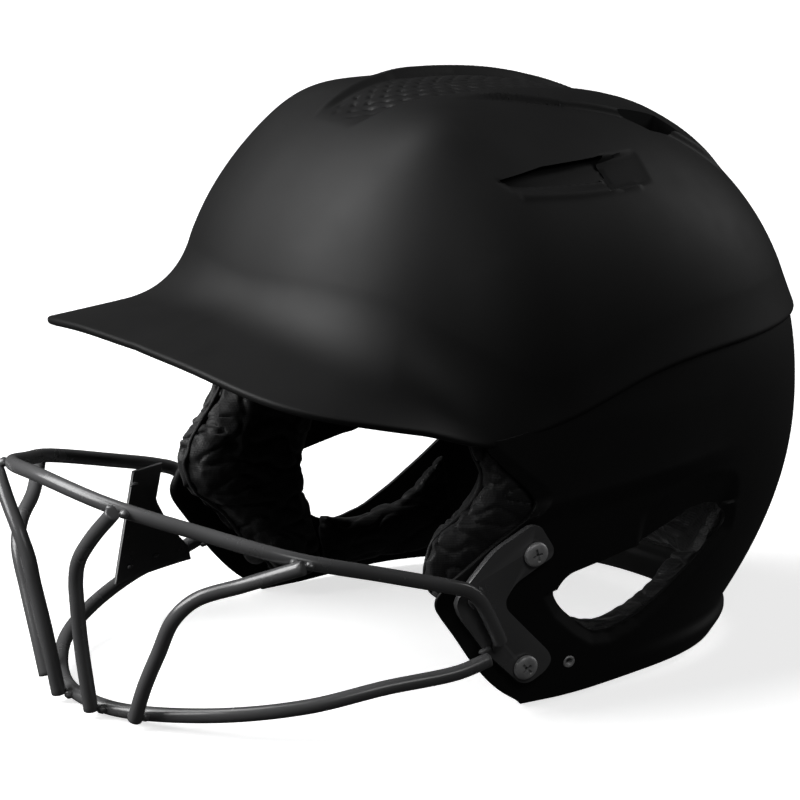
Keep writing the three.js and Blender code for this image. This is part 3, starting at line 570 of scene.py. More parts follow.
class Graph:
    """A material being built: its shader, and helpers that each add one kind of node."""

    def __init__(self, name):
        self.material = bpy.data.materials.new(name)
        self.material.use_nodes = True
        self.nodes = self.material.node_tree.nodes
        self.nodes.clear()
        self.link = self.material.node_tree.links.new
        output = self.nodes.new("ShaderNodeOutputMaterial")
        self.shader = self.nodes.new("ShaderNodeBsdfPrincipled")
        self.link(self.shader.outputs["BSDF"], output.inputs["Surface"])
        self.place = self.nodes.new("ShaderNodeTexCoord").outputs["Object"]

    def feed(self, socket, value):
        """Gives a socket a link, a colour or a number."""
        if isinstance(value, bpy.types.NodeSocket):
            self.link(value, socket)
        else:
            socket.default_value = (*value, 1) if isinstance(value, tuple) else value

    def surface(self, values):
        """Feeds the shader's inputs, named as Blender names them."""
        for name, value in values.items():
            self.feed(self.shader.inputs[name], value)

    def texture(self, kind, values):
        node = self.nodes.new(kind)
        for name, value in values.items():
            self.feed(node.inputs[name], value)
        self.link(self.place, node.inputs["Vector"])
        return node

    def noise(self, scale, detail=4, roughness=0.55):
        values = {"Scale": scale, "Detail": detail, "Roughness": roughness}
        return self.texture("ShaderNodeTexNoise", values).outputs["Fac"]

    def ramp(self, factor, stops):
        ramp = self.nodes.new("ShaderNodeValToRGB")
        for element, (position, value) in zip(ramp.color_ramp.elements, stops):
            element.position = position
            element.color = (*value, 1) if isinstance(value, tuple) else (value, value, value, 1)
        self.link(factor, ramp.inputs["Fac"])
        return ramp.outputs["Color"]

    def mix(self, factor, a, b):
        mix = self.nodes.new("ShaderNodeMix")
        mix.data_type = "RGBA"
        for socket, value in ((mix.inputs[0], factor), (mix.inputs[6], a), (mix.inputs[7], b)):
            self.feed(socket, value)
        return mix.outputs[2]

    def spread(self, value, low, high):
        """A 0 to 1 value spread between two others."""
        spread = self.nodes.new("ShaderNodeMapRange")
        spread.inputs["To Min"].default_value = low
        spread.inputs["To Max"].default_value = high
        self.link(value, spread.inputs["Value"])
        return spread.outputs["Result"]

    def edges(self, stops):
        """A ramp over how convex the surface is."""
        return self.ramp(self.nodes.new("ShaderNodeNewGeometry").outputs["Pointiness"], stops)

    def bumps(self, heights):
        """Bumps one over another, from (height socket, strength, distance in metres)."""
        normal = None
        for height, strength, distance in heights:
            bump = self.nodes.new("ShaderNodeBump")
            bump.inputs["Strength"].default_value = strength
            bump.inputs["Distance"].default_value = distance
            self.link(height, bump.inputs["Height"])
            if normal:
                self.link(normal, bump.inputs["Normal"])
            normal = bump.outputs["Normal"]
        self.link(normal, self.shader.inputs["Normal"])


def hard_finish(name, dark, light, roughness, specular, grain):
    """A hard coated surface: mottled colour, fine grain, soft waviness and a painted highlight along its
    edges.
    """
    graph = Graph(name)
    cloudy = graph.noise(18, 3)
    fine = graph.noise(grain, 3, 0.7)
    smudges = graph.noise(60, 5, 0.6)
    colour = graph.ramp(cloudy, [(0.3, dark), (0.7, light)])
    flecks = graph.mix(graph.spread(fine, 0.0, 0.35), colour, light)
    pale = tuple(min(1.0, c * EDGE_HIGHLIGHT_PALENESS) for c in light)
    # Convex edges turn paler: a painted highlight along them.
    edge_highlight = graph.mix(graph.edges([(0.53, 0.0), (0.62, 1.0)]), (0, 0, 0), (EDGE_HIGHLIGHT_STRENGTH, EDGE_HIGHLIGHT_STRENGTH, EDGE_HIGHLIGHT_STRENGTH))
    graph.surface({
        "Base Color": graph.mix(edge_highlight, flecks, pale),
        "Roughness": graph.spread(smudges, roughness - 0.06, roughness + 0.06),
        "Metallic": 0.0,
        "Specular IOR Level": specular,
    })
    graph.bumps([(cloudy, 0.12, 0.0004), (fine, 0.22, 0.00006)])
    return graph.material


def cloth_finish(name, dark, light, pitch, roughness, sheen):
    """A fine knit: crossing ribs at the given pitch in metres, lint, soft sheen and painted shade in its
    folds.
    """
    graph = Graph(name)
    ribs = []
    for direction in ("X", "Y", "Z"):
        values = {"Scale": 0.31 / pitch, "Distortion": 1.2, "Detail Scale": 3}
        wave = graph.texture("ShaderNodeTexWave", values)
        wave.bands_direction = direction
        ribs.append(wave.outputs["Fac"])
    weave = graph.mix(0.5, graph.mix(0.5, ribs[0], ribs[1]), ribs[2])
    lint = graph.noise(900, 4, 0.7)
    fold_relief_and_shade = graph.noise(45, 4, 0.6)
    colour = graph.ramp(weave, [(0.25, dark), (0.75, light)])
    # The colour darkens with the folds' relief: painted shade.
    painted_fold_shade = graph.mix(graph.spread(fold_relief_and_shade, 0.2, 0.9), colour, dark)
    graph.surface({
        "Base Color": graph.mix(graph.spread(lint, 0.0, 0.3), painted_fold_shade, light),
        "Roughness": graph.spread(lint, roughness - 0.1, roughness + 0.1),
        "Specular IOR Level": 0.35,
        "Sheen Weight": sheen,
        "Sheen Roughness": 0.4,
    })
    graph.bumps([(fold_relief_and_shade, 0.35, 0.0012), (weave, 0.4, 0.0002), (lint, 0.2, 0.00008)])
    return graph.material


def foam_finish(name, dark, light):
    """Closed-cell foam: small pits with painted shade in them, and a dull, uneven surface."""
    graph = Graph(name)
    pit_relief_and_shade = graph.texture("ShaderNodeTexVoronoi", {"Scale": 650}).outputs["Distance"]
    cloudy = graph.noise(30, 4)
    colour = graph.ramp(cloudy, [(0.3, dark), (0.7, light)])
    graph.surface({
        # The pits are darkened: painted shade.
        "Base Color": graph.mix(graph.ramp(pit_relief_and_shade, [(0.1, 0.6), (0.5, 0.0)]), colour, dark),
        "Roughness": graph.spread(cloudy, 0.8, 0.98),
        "Specular IOR Level": 0.25,
    })
    graph.bumps([(cloudy, 0.2, 0.0008), (pit_relief_and_shade, 0.5, 0.0003)])
    return graph.material


def metal_finish(name):
    """Zinc-plated steel: fine turning marks, dull patches and painted shade in hollows."""
    graph = Graph(name)
    patches = graph.noise(260, 5, 0.6)
    marks = graph.noise(2600, 2, 0.5)
    colour = graph.ramp(patches, [(0.3, (0.5, 0.5, 0.51)), (0.7, (0.8, 0.8, 0.8))])
    # Concave places turn dark: painted shade.
    hollow_shade = graph.edges([(0.42, 1.0), (0.49, 0.0)])
    graph.surface({
        "Base Color": graph.mix(hollow_shade, colour, (0.05, 0.05, 0.05)),
        "Roughness": graph.spread(patches, 0.4, 0.6),
        "Metallic": 0.4,
    })
    graph.bumps([(patches, 0.15, 0.0001), (marks, 0.3, 0.00003)])
    return graph.material


def floor_finish(name):
    """White studio paper with a very faint mottle, glowing a little so that it looks evenly lit."""
    graph = Graph(name)
    mottle = graph.noise(3, 4)
    graph.surface({
        "Base Color": graph.ramp(mottle, [(0.3, (0.9, 0.9, 0.9)), (0.7, (0.94, 0.94, 0.94))]),
        "Roughness": 0.9,
        "Specular IOR Level": 0.2,
        "Emission Color": (1, 1, 1),
        "Emission Strength": 0.7,
    })
    return graph.material


SHELL = hard_finish("shell_matte", (0.006, 0.006, 0.0062), (0.010, 0.010, 0.0102), 0.56, 0.34, 1800)
COATED_WIRE = hard_finish("mask_coating", (0.1, 0.1, 0.102), (0.15, 0.15, 0.153), 0.26, 1.0, 1400)
LINER_CLOTH = cloth_finish("liner_cloth", (0.012, 0.012, 0.0125), (0.045, 0.045, 0.046), 0.0009, 0.5, 0.25)
LINER_FOAM = foam_finish("liner_foam", (0.006, 0.006, 0.006), (0.014, 0.014, 0.014))
ZINC = metal_finish("zinc_steel")


# ---------------------------------------------------------------- shell
CROWN_COLUMNS = 600
CROWN_STEPS = 130
WALL_COLUMNS = 520
WALL_ROWS = 124
WALL_FRONT_DEG = 68.0        # azimuth of the wall's front edge at its top
WALL_RUN = 620               # length of the wall from one flap's front round to the other's


FILLET_STEPS = 16
BILL_STEPS = 22
INNER_ROW_SKIP = 4            # the crown's inner face keeps every fourth row
INNER_EDGE_ROWS = 8           # and all of these, next to its edge
WALL_EDGE_ROWS = np.array([0.15, 0.5, 1.0, 1.6])     # extra rows this far from the wall's edges
FLAP_AZIMUTH_LIMIT = math.radians(120)


def dimples(x, y):
    """Rows of small oval dimples set on a diagonal, along the centre channel."""
    u = (y + 0.5 * x) / DIMPLE_PITCH
    v = (y - 0.9 * x) / DIMPLE_PITCH
    du = (u - np.round(u)) * DIMPLE_PITCH
    dv = (v - np.round(v)) * DIMPLE_PITCH
    return np.exp(-((du / DIMPLE_SIZE[0]) ** 2 + (dv / DIMPLE_SIZE[1]) ** 2))


def within(x, half_width, edge):
    """1 inside a half width and 0 outside it, fading over an edge."""
    return 1 - smoothstep(x, half_width + edge[0], half_width + edge[1])


def channel_relief(x, y, z):
    """The sunk, dimpled channel along the crown's middle, and where it lies."""
    half = straight(CHANNEL_HALF_WIDTH, y)
    length = window(y, *CHANNEL_ENDS)
    fade = length * smoothstep(z, *CHANNEL_HEIGHTS)
    channel = within(x, half, CHANNEL_EDGE)
    sunk = CHANNEL_DEPTH * channel
    dimpled = DIMPLE_DEPTH * dimples(x, y) * within(x, half, DIMPLE_EDGE)
    return -(sunk + dimpled) * fade, channel * length


def vent_relief(x, y, z):
    """The side vent's sunk rear facet, the ledge under it and the eased lip."""
    side = np.stack([y, z], -1)
    outer_face = x > VENT_SIDE_X
    reach = np.clip(1 - (y - VENT_FACET_START) / VENT_FACET_LENGTH, 0, 1) ** 0.7
    facet = reach * (1 - smoothstep(abs(z - VENT_FACET_Z), *VENT_FACET_EDGE)) * (y > VENT_FACET_START - 2)
    ledge = np.exp(-((distance_to_line(side, VENT_LEDGE) / VENT_LEDGE_WIDTH) ** 2))
    around = distance_to_line(side, SIDE_VENT, closed=True)
    lip = np.clip(1 - around / VENT_LIP_WIDTH, 0, 1) * (z < VENT_LIP_TOP)
    return outer_face * (VENT_LEDGE_HEIGHT * ledge - VENT_FACET_DEPTH * facet - VENT_LIP_DEPTH * lip)


def shoulder_relief(x, y, z):
    """A soft rise on each panel beside the channel's front."""
    u = (x - SHOULDER_CENTRE[0]) / SHOULDER_REACH[0]
    v = (y - SHOULDER_CENTRE[1]) / SHOULDER_REACH[1]
    return SHOULDER_HEIGHT * np.exp(-(u**2) - v**2) * smoothstep(z, *SHOULDER_HEIGHTS)


def crown_relief(grid):
    """Height of the crown's relief over its smooth form."""
    x, y, z = abs(grid[..., 0]), grid[..., 1], grid[..., 2]
    channel, in_channel = channel_relief(x, y, z)
    step = within(x, straight(STEP_HALF_WIDTH, y), STEP_EDGE) * window(y, *STEP_ENDS)
    panel = STEP_HEIGHT * step * (1 - in_channel) * smoothstep(z, *STEP_HEIGHTS)
    return channel + panel + shoulder_relief(x, y, z) + vent_relief(x, y, z)


def crown_sheet():
    """The crown's outer and inner faces, bill included, as grids of points."""
    phi = np.linspace(-math.pi, math.pi, CROWN_COLUMNS, endpoint=False)
    profile = crown_profile(phi, CROWN_STEPS, FILLET_STEPS, BILL_STEPS)
    step = np.gradient(profile, axis=0)
    step /= np.linalg.norm(step, axis=-1, keepdims=True)
    inward = np.stack([-abs(step[..., 1]), -abs(step[..., 0])], -1)
    inner = profile + inward * SHELL_THICKNESS
    inner[0, :, 0] = 0
    run = np.linalg.norm(np.diff(profile[::-1], axis=0), axis=-1)
    from_rim = np.vstack([np.zeros(len(phi)), np.cumsum(run, axis=0)])[::-1]
    inset = edge_inset(from_rim)[..., None]
    outer_grid = polar(phi, *(np.moveaxis(profile + inward * inset, -1, 0)))
    inner_grid = polar(phi, *(np.moveaxis(inner - inward * inset, -1, 0)))
    normals = grid_normals(outer_grid, True)
    normals[0] = (0, 0, 1)
    outer_grid = outer_grid + normals * crown_relief(outer_grid)[..., None]
    near_edge = len(inner_grid) - INNER_EDGE_ROWS
    coarse = [*range(0, near_edge, INNER_ROW_SKIP), *range(near_edge, len(inner_grid))]
    return outer_grid, inner_grid[coarse]


def flap_front(z):
    """The flap's front edge, with its corners eased."""
    offsets = np.linspace(-3, 3, 7)
    return np.mean([straight(FLAP_EDGE, z + o) for o in offsets], axis=0)


def ridge_relief(y, z):
    """The wall's side ridge: a crisp lower edge and a long slope above it."""
    above = z - straight(RIDGE_LINE, y)
    rise = np.exp(-np.clip(above, 0, None) / RIDGE_RISE)
    fall = 1 - smoothstep(-above, 0, RIDGE_FALL)
    fade = (1 - smoothstep(y, *RIDGE_REAR)) * (1 - smoothstep(z, *RIDGE_TOP))
    return RIDGE_HEIGHT * np.where(above > 0, rise, fall) * fade


def ear_relief(y, z):
    """The chamfer along the ear hole's lower edge and the pocket behind its upper one."""
    hole = distance_to_line(np.stack([y, z], -1), EAR_HOLE, closed=True)
    middle = straight(EAR_MIDDLE, y)
    low_edge = (z < middle) & (y > EAR_LOWER_REACH[0]) & (y < EAR_LOWER_REACH[1])
    chamfer = np.clip(1 - hole / EAR_CHAMFER_WIDTH, 0, 1) * low_edge
    upper_rear = window(y, *EAR_UPPER_ENDS) * (z >= middle)
    pocket = np.clip(1 - hole / EAR_POCKET_WIDTH, 0, 1) ** 0.7 * upper_rear
    return -EAR_CHAMFER_DEPTH * chamfer - EAR_POCKET_DEPTH * pocket


def wall_relief(phi, z, from_edge):
    """Height of the wall's relief over its smooth form."""
    y = CROWN_CENTRE_Y - wall_radius(phi, z) * np.cos(phi)
    above_hem = z - hem_height(phi)
    ledge = 1 - smoothstep(above_hem, HEM_BAND_HEIGHT, HEM_BAND_HEIGHT + HEM_LEDGE_HEIGHT)
    hem = HEM_LEDGE_DEPTH * ledge * smoothstep(abs(np.degrees(phi)), *HEM_LEDGE_AZIMUTH)
    heights = (z > TEMPLE_HEIGHTS[0]) * (1 - smoothstep(z, *TEMPLE_HEIGHTS[1:]))
    temple = TEMPLE_CHAMFER_DEPTH * heights * np.clip(1 - from_edge / TEMPLE_CHAMFER_WIDTH, 0, 1)
    return ridge_relief(y, z) + ear_relief(y, z) + hem - temple


def wall_sheet():
    """The wall's outer and inner faces, from one flap's front round the back to the other's."""
    top = float(wall_top(np.array([WALL_FRONT_DEG]))[0])
    shares = np.unique(np.concatenate([np.linspace(0, 1, WALL_ROWS), 1 - WALL_EDGE_ROWS / top]))
    margin = WALL_EDGE_ROWS / WALL_RUN
    across = np.unique(np.concatenate([np.linspace(0, 1, WALL_COLUMNS), margin, 1 - margin]))
    front_z = top * (1 - shares)
    start = azimuth_at_y(flap_front(front_z), front_z, high=FLAP_AZIMUTH_LIMIT)
    phi = start[:, None] + (2 * math.pi - 2 * start)[:, None] * across[None]
    signed = np.where(phi > math.pi, phi - 2 * math.pi, phi)
    column_top = wall_top(np.degrees(signed))
    z = column_top + (hem_height(signed) - column_top) * shares[:, None]
    radius = wall_radius(signed, z)
    bare = polar(signed, radius, z)
    over = np.cumsum(np.linalg.norm(np.diff(bare, axis=1, prepend=bare[:, :1]), axis=-1), axis=1)
    from_front = np.minimum(over, over[:, -1:] - over)
    down = np.cumsum(np.linalg.norm(np.diff(bare[::-1], axis=0, prepend=bare[-1:]), axis=-1), axis=0)[::-1]
    inset = np.maximum(edge_inset(from_front), edge_inset(down))
    relief = wall_relief(signed, z, from_front)
    outer = polar(signed, radius + relief - inset, z)
    inner_relief = np.minimum(relief, 0) * INNER_RELIEF[0] + np.maximum(relief, 0) * INNER_RELIEF[1]
    inner = polar(signed, radius - WALL_THICKNESS + inner_relief + inset, z)
    return outer, inner


# ---------------------------------------------------------------- mount plane
def plane_through(a, b, c):
    normal = np.cross(np.subtract(b, a), np.subtract(c, a))
    normal = normal / np.linalg.norm(normal)
    normal = normal if normal[0] > 0 else -normal
    return normal, float(normal @ np.array(a))


def plate_point(y, z):
    return (float(flap_x(y, z)) + PLATE_CLEARANCE + PLATE_THICKNESS, y, z)


PLATE_NORMAL, PLATE_OFFSET = plane_through(*(plate_point(y, z) for y, z in PLATE_REST))


def plate_x(y, z):
    return (PLATE_OFFSET - PLATE_NORMAL[1] * y - PLATE_NORMAL[2] * z) / PLATE_NORMAL[0]


def on_plate(place, height=0.0):
    y, z = place
    return np.array([plate_x(y, z), y, z]) + PLATE_NORMAL * height


def drill(place, radius, low=-16.0, high=6.0, side=1):
    """A round cutter through the plate and the wall behind it."""
    mesh = lathe_mesh("drill", [(0, low), (radius, low), (radius, high), (0, high)], 40,
                      PLATE_NORMAL, on_plate(place))
    return mesh if side > 0 else mirrored_mesh(mesh)


def side_cutter(outline, from_x, to_x, side=1):
    def place(u, v, end):
        return (side * (to_x if end else from_x), u, v)

    return prism_mesh("cutter", outline, place)


SLIT_CUT = (190, 240)     # z reach of the crown slits' cutters
VENT_CUT = (40, 115)      # x reach of the side vents' cutters
EAR_CUT = (50, 125)       # x reach of the ear holes' cutters


def build_shell():
    outer, inner = crown_sheet()
    crown = link("helmet_crown", sheet_mesh("helmet_crown", outer, inner, True), "shell")
    cutters = []
    for side in (1, -1):
        cutters.append(side_cutter(rounded(SIDE_VENT, 1.0), *VENT_CUT, side))
        for slit in CROWN_SLITS:
            outline = rounded([(side * x, y) for x, y in slit], 1.5)
            cutters.append(prism_mesh("slit", outline, lambda u, v, end: (u, v, SLIT_CUT[end])))
    dress(cut(crown, cutters, "FAST"), SHELL, 38, "helmet_shell")

    outer, inner = wall_sheet()
    wall = link("helmet_wall", sheet_mesh("helmet_wall", outer, inner, False), "shell")
    cutters = []
    for side in (1, -1):
        cutters.append(side_cutter(rounded(EAR_HOLE, 4, 7), *EAR_CUT, side))
        for place in (UPPER_SCREW, LOWER_SCREW):
            cutters.append(drill(place, HOLE_RADIUS, side=side))
        cutters.append(drill(JAW_INSERT, INSERT_RADIUS + GAP, side=side))
    dress(cut(wall, cutters), SHELL, 38, "helmet_shell")


build_shell()


# ---------------------------------------------------------------- mask
WIRE_SIDES = 28
WELD_LUMPS = 0.22
BAR_WELD_SIZE = (2.0, 1.8, 1.7)
PLATE_WELD_SIZE = (2.7, 1.3, 1.2)
TAG_WELD_SIZE = (1.9, 1.5, 0.9)
TAG_WELDS = [(-68, 55), (-60, 24), (-76, 23)]   # (y, z)
# Beads that hold the rails to the plate, as (y, z) and the direction they run in.
PLATE_WELDS = [
    ((-37.5, 48.6), (0.5, -0.8)), ((-33.4, 52.6), (0.5, -0.8)), ((-27.4, 41.5), (0.4, -1)),
    ((-25.2, 28.8), (0.2, -1)), ((-30.5, 22.6), (1, 0.3)), ((-29.5, 27.9), (1, 0.3)),
]


def sweep_mesh(name, points, radius, sides=WIRE_SIDES, dome=0.35, wobble=0.0, closed=False):
    """A round rod along points, with eased ends."""
    points = np.array(points, float)
    if closed:
        tangents = np.roll(points, -1, axis=0) - np.roll(points, 1, axis=0)
    else:
        tangents = np.gradient(points, axis=0)
    tangents /= np.linalg.norm(tangents, axis=1, keepdims=True)
    across = np.cross(tangents[0], (0.3, 0.2, 1.0))
    rings = []
    angles = np.linspace(0, 2 * math.pi, sides, endpoint=False)
    for k, (point, tangent) in enumerate(zip(points, tangents)):
        across = across - tangent * (across @ tangent)
        across /= np.linalg.norm(across)
        up = np.cross(tangent, across)
        size = radius * (1 + wobble * math.sin(2.4 * k))
        rings.append(point + size * (np.cos(angles)[:, None] * across + np.sin(angles)[:, None] * up))
    if closed:
        faces = [*grid_faces(len(rings), sides, True)]
        last = (len(rings) - 1) * sides
        faces += [(last + j, j, (j + 1) % sides, last + (j + 1) % sides) for j in range(sides)]
        return mesh_from(name, np.vstack(rings), faces)
    for end, sign in ((0, -1), (-1, 1)):
        ring = rings[end]
        centre, tangent = points[end], tangents[end] * sign
        extra = [centre + (ring - centre) * share + tangent * dome * lift
                 for share, lift in ((0.93, 0.55), (0.78, 0.9), (0.4, 1.0), (0.0, 1.0))]
        rings = [*reversed(extra), *rings] if end == 0 else [*rings, *extra]
    return mesh_from(name, np.vstack(rings), grid_faces(len(rings), sides, True))


def across_middle(half):
    return [(-x, y, z) for x, y, z in reversed(half[1:])] + list(half)


RAIL_HEIGHT = WIRE_RADIUS + GAP + 0.05
UPPER_HALF = UPPER_RAIL + [tuple(on_plate(p, RAIL_HEIGHT)) for p in UPPER_RAIL_ON_PLATE]
LOWER_HALF = LOWER_RAIL + [tuple(on_plate(p, RAIL_HEIGHT)) for p in LOWER_RAIL_ON_PLATE]
UPPER_CURVE = curve_through(across_middle(UPPER_HALF))
LOWER_CURVE = curve_through(across_middle(LOWER_HALF))


def nearest_on(curve, point):
    i = int(np.argmin(np.linalg.norm(curve - np.array(point), axis=1)))
    tangent = curve[min(i + 1, len(curve) - 1)] - curve[max(i - 1, 0)]
    return curve[i], tangent / np.linalg.norm(tangent)


def weld_bead(bm, place, direction, size, seed):
    """A small lumpy bead of weld, long in one direction, added to a bmesh."""
    made = bmesh.ops.create_icosphere(bm, subdivisions=3, radius=1)
    turn = Vector((1, 0, 0)).rotation_difference(Vector(direction)).to_matrix()
    for vert in made["verts"]:
        lump = 1 + WELD_LUMPS * noise.noise(vert.co * 2.3 + Vector((seed * 3.7, seed, 1)))
        shaped = Vector((vert.co.x * size[0], vert.co.y * size[1], vert.co.z * size[2])) * lump
        vert.co = (turn @ shaped + Vector(place)) * MM


def weld_piece(name, bm, degrees):
    """The beads gathered in a bmesh, as a piece of the mask."""
    mesh = bpy.data.meshes.new(name)
    bm.to_mesh(mesh)
    bm.free()
    dress(link(name, mesh, "mask"), COATED_WIRE, degrees)


def bar_welds(bm, bar, side):
    """Beads on both sides of a bar at each of its ends, where it meets a rail."""
    for end, curve in ((bar[0], UPPER_CURVE), (bar[-1], LOWER_CURVE)):
        tip = np.array(end) * (side, 1, 1)
        rail, tangent = nearest_on(curve, tip)
        for step in (-1, 1):
            place = (rail + tip) / 2 + tangent * step * WIRE_RADIUS
            weld_bead(bm, place, tangent, BAR_WELD_SIZE, step + side)


def build_mask():
    for name, curve in (("mask_upper_rail", UPPER_CURVE), ("mask_lower_rail", LOWER_CURVE)):
        dress(link(f"{name}_wire", sweep_mesh(name, curve, WIRE_RADIUS), "mask"), COATED_WIRE, 50, name)
    for name, points in (("inner", INNER_BAR), ("outer", OUTER_BAR)):
        mesh = sweep_mesh(f"{name}_bar", curve_through(points), WIRE_RADIUS)
        link_pair(f"mask_{name}_bar", "wire", mesh, "mask", COATED_WIRE, 50)
    for side, sign in (("left", 1), ("right", -1)):
        bm = bmesh.new()
        for bar in (INNER_BAR, OUTER_BAR):
            bar_welds(bm, bar, sign)
        for place, (u, v) in PLATE_WELDS:
            spot = on_plate(place, 0.5)
            run = on_plate((place[0] + u, place[1] + v), 0.5) - spot
            along_run = run / np.linalg.norm(run) * (sign, 1, 1)
            weld_bead(bm, spot * (sign, 1, 1), along_run, PLATE_WELD_SIZE, sign)
        weld_piece(f"mask_welds_{side}", bm, 60)


def grown_wall():
    """The flap's outside, grown by the clearance, for hollowing the plate's back."""
    z, phi = np.meshgrid(np.linspace(90, 0, 40), np.radians(np.linspace(38, 100, 60)), indexing="ij")
    r = wall_radius(phi, z)
    return sheet_mesh("grown", polar(phi, r + GAP, z), polar(phi, r - 25, z), False)


def build_plates():
    outline = rounded(MOUNT_PLATE, 3.2, 5)

    def place(u, v, end):
        return (plate_x(u, v) - (0 if end else PLATE_THICKNESS), u, v)

    plate = link("mask_plate_left_steel", prism_mesh("plate", outline, place), "mask")
    cut(plate, [grown_wall(), drill(UPPER_SCREW, HOLE_RADIUS), drill(LOWER_SCREW, HOLE_RADIUS)])
    bevel(plate, 0.4, 3)
    twin = link("mask_plate_right_steel", mirrored_mesh(plate.data), "mask")
    for piece, node in ((plate, "mask_plate_left"), (twin, "mask_plate_right")):
        dress(piece, COATED_WIRE, 40, node)


def build_tag_plate():
    def at(y, z, offset):
        top = np.interp(y, *half_run(UPPER_HALF))
        bottom = np.interp(y, *half_run(LOWER_HALF))
        top_z = np.interp(y, *half_run(UPPER_HALF, 2))
        bottom_z = np.interp(y, *half_run(LOWER_HALF, 2))
        x = bottom + (top - bottom) * (z - bottom_z) / (top_z - bottom_z)
        return (-(x - WIRE_RADIUS - 2 * GAP - offset), y, z)

    def half_run(half, axis=0):
        curve = curve_through(half)
        order = np.argsort(curve[:, 1])
        return curve[order, 1], curve[order, axis]

    low, high = TAG_PLATE_FRONT[0][0], TAG_PLATE_FRONT[1][0]
    grids = []
    for offset in (0, TAG_PLATE_THICKNESS):
        rows = []
        for z in np.linspace(high, low, 26):
            ys = np.linspace(straight(TAG_PLATE_FRONT, z), straight(TAG_PLATE_BACK, z), 22)
            rows.append([at(y, z, offset) for y in ys])
        grids.append(np.array(rows))
    plate = link("mask_tag_plate_steel", sheet_mesh("tag", grids[0], grids[1], False), "mask")
    bevel(plate, 0.35, 3, 50)
    bm = bmesh.new()
    for y, z in TAG_WELDS:
        weld_bead(bm, at(y, z, TAG_PLATE_THICKNESS), (0, 1, 0.2), TAG_WELD_SIZE, y)
    weld_piece("mask_tag_spots", bm, 40)
    dress(plate, COATED_WIRE, 40, "mask_tag_plate")


# ---------------------------------------------------------------- fasteners
DRIVER_SLOTS = [(6.4, 1.1, 1.0, 0), (4.4, 1.3, 1.5, 1)]   # (length, width, depth, quarter turns)
SLOT_FLOOR = 0.82         # a slot's floor is this share of its length


def thread(low, high, radius, pitch=0.8, depth=0.28):
    """Profile of a screw thread as rings: crests at the radius and roots at a depth below it."""
    half_turns = 2 * int((high - low) / pitch)
    step = (high - low) / half_turns
    return [(radius - (depth if k % 2 else 0), low + step * k) for k in range(half_turns + 1)]


def driver_slot(place, length, width, depth, turn):
    """A box sunk into a screw head, turned about the screw's own axis."""
    up = Vector(PLATE_NORMAL)
    right = Vector((0, 1, 0)).cross(up).normalized()
    basis = Matrix((right, up.cross(right), up)).transposed() @ Matrix.Rotation(turn, 3, "Z")
    corners = []
    top = SCREW_HEAD_HEIGHT + 1
    for h in (SCREW_HEAD_HEIGHT + GAP - depth, top):
        for u, v in ((-1, -1), (1, -1), (1, 1), (-1, 1)):
            shrink = 1 if h == top else SLOT_FLOOR
            corner = basis @ Vector((u * length / 2 * shrink, v * width / 2, h))
            corners.append(on_plate(place) + np.array(corner))
    faces = [(3, 2, 1, 0), (4, 5, 6, 7)] + [(k, (k + 1) % 4, 4 + (k + 1) % 4, 4 + k) for k in range(4)]
    return mesh_from("slot", corners, faces)


def build_screw(level, place, turn):
    head = SCREW_HEAD_HEIGHT
    profile = [(0, -SCREW_LENGTH), (SCREW_SHANK_RADIUS - 0.6, -SCREW_LENGTH)]
    profile += thread(-SCREW_LENGTH + 0.6, -2.0, SCREW_SHANK_RADIUS)
    profile += [(SCREW_SHANK_RADIUS, -1.8), (SCREW_SHANK_RADIUS, GAP), (SCREW_HEAD_RADIUS - 0.2, GAP)]
    profile += [(SCREW_HEAD_RADIUS, GAP + 0.2), (SCREW_HEAD_RADIUS, head * 0.45)]
    for t in np.linspace(0.15, 1, 8):
        angle = t * math.pi / 2
        height = head * 0.45 + (head * 0.55 + GAP) * math.sin(angle)
        profile.append((SCREW_HEAD_RADIUS * max(math.cos(angle), 0) ** 0.6, height))
    profile[-1] = (0, head + GAP)
    mesh = lathe_mesh("screw", profile, 56, PLATE_NORMAL, on_plate(place))
    screw = link(f"screw_{level}_left_steel", mesh, "steel", f"screw_{level}_left")
    for length, width, depth, quarter in DRIVER_SLOTS:
        cut(screw, [driver_slot(place, length, width, depth, turn + quarter * math.pi / 2)])
    bevel(screw, 0.12, 2, 50)
    twin = link(f"screw_{level}_right_steel", mirrored_mesh(screw.data), "steel", f"screw_{level}_right")
    for side, piece in (("left", screw), ("right", twin)):
        dress(piece, ZINC, 40, f"screw_{level}_{side}")


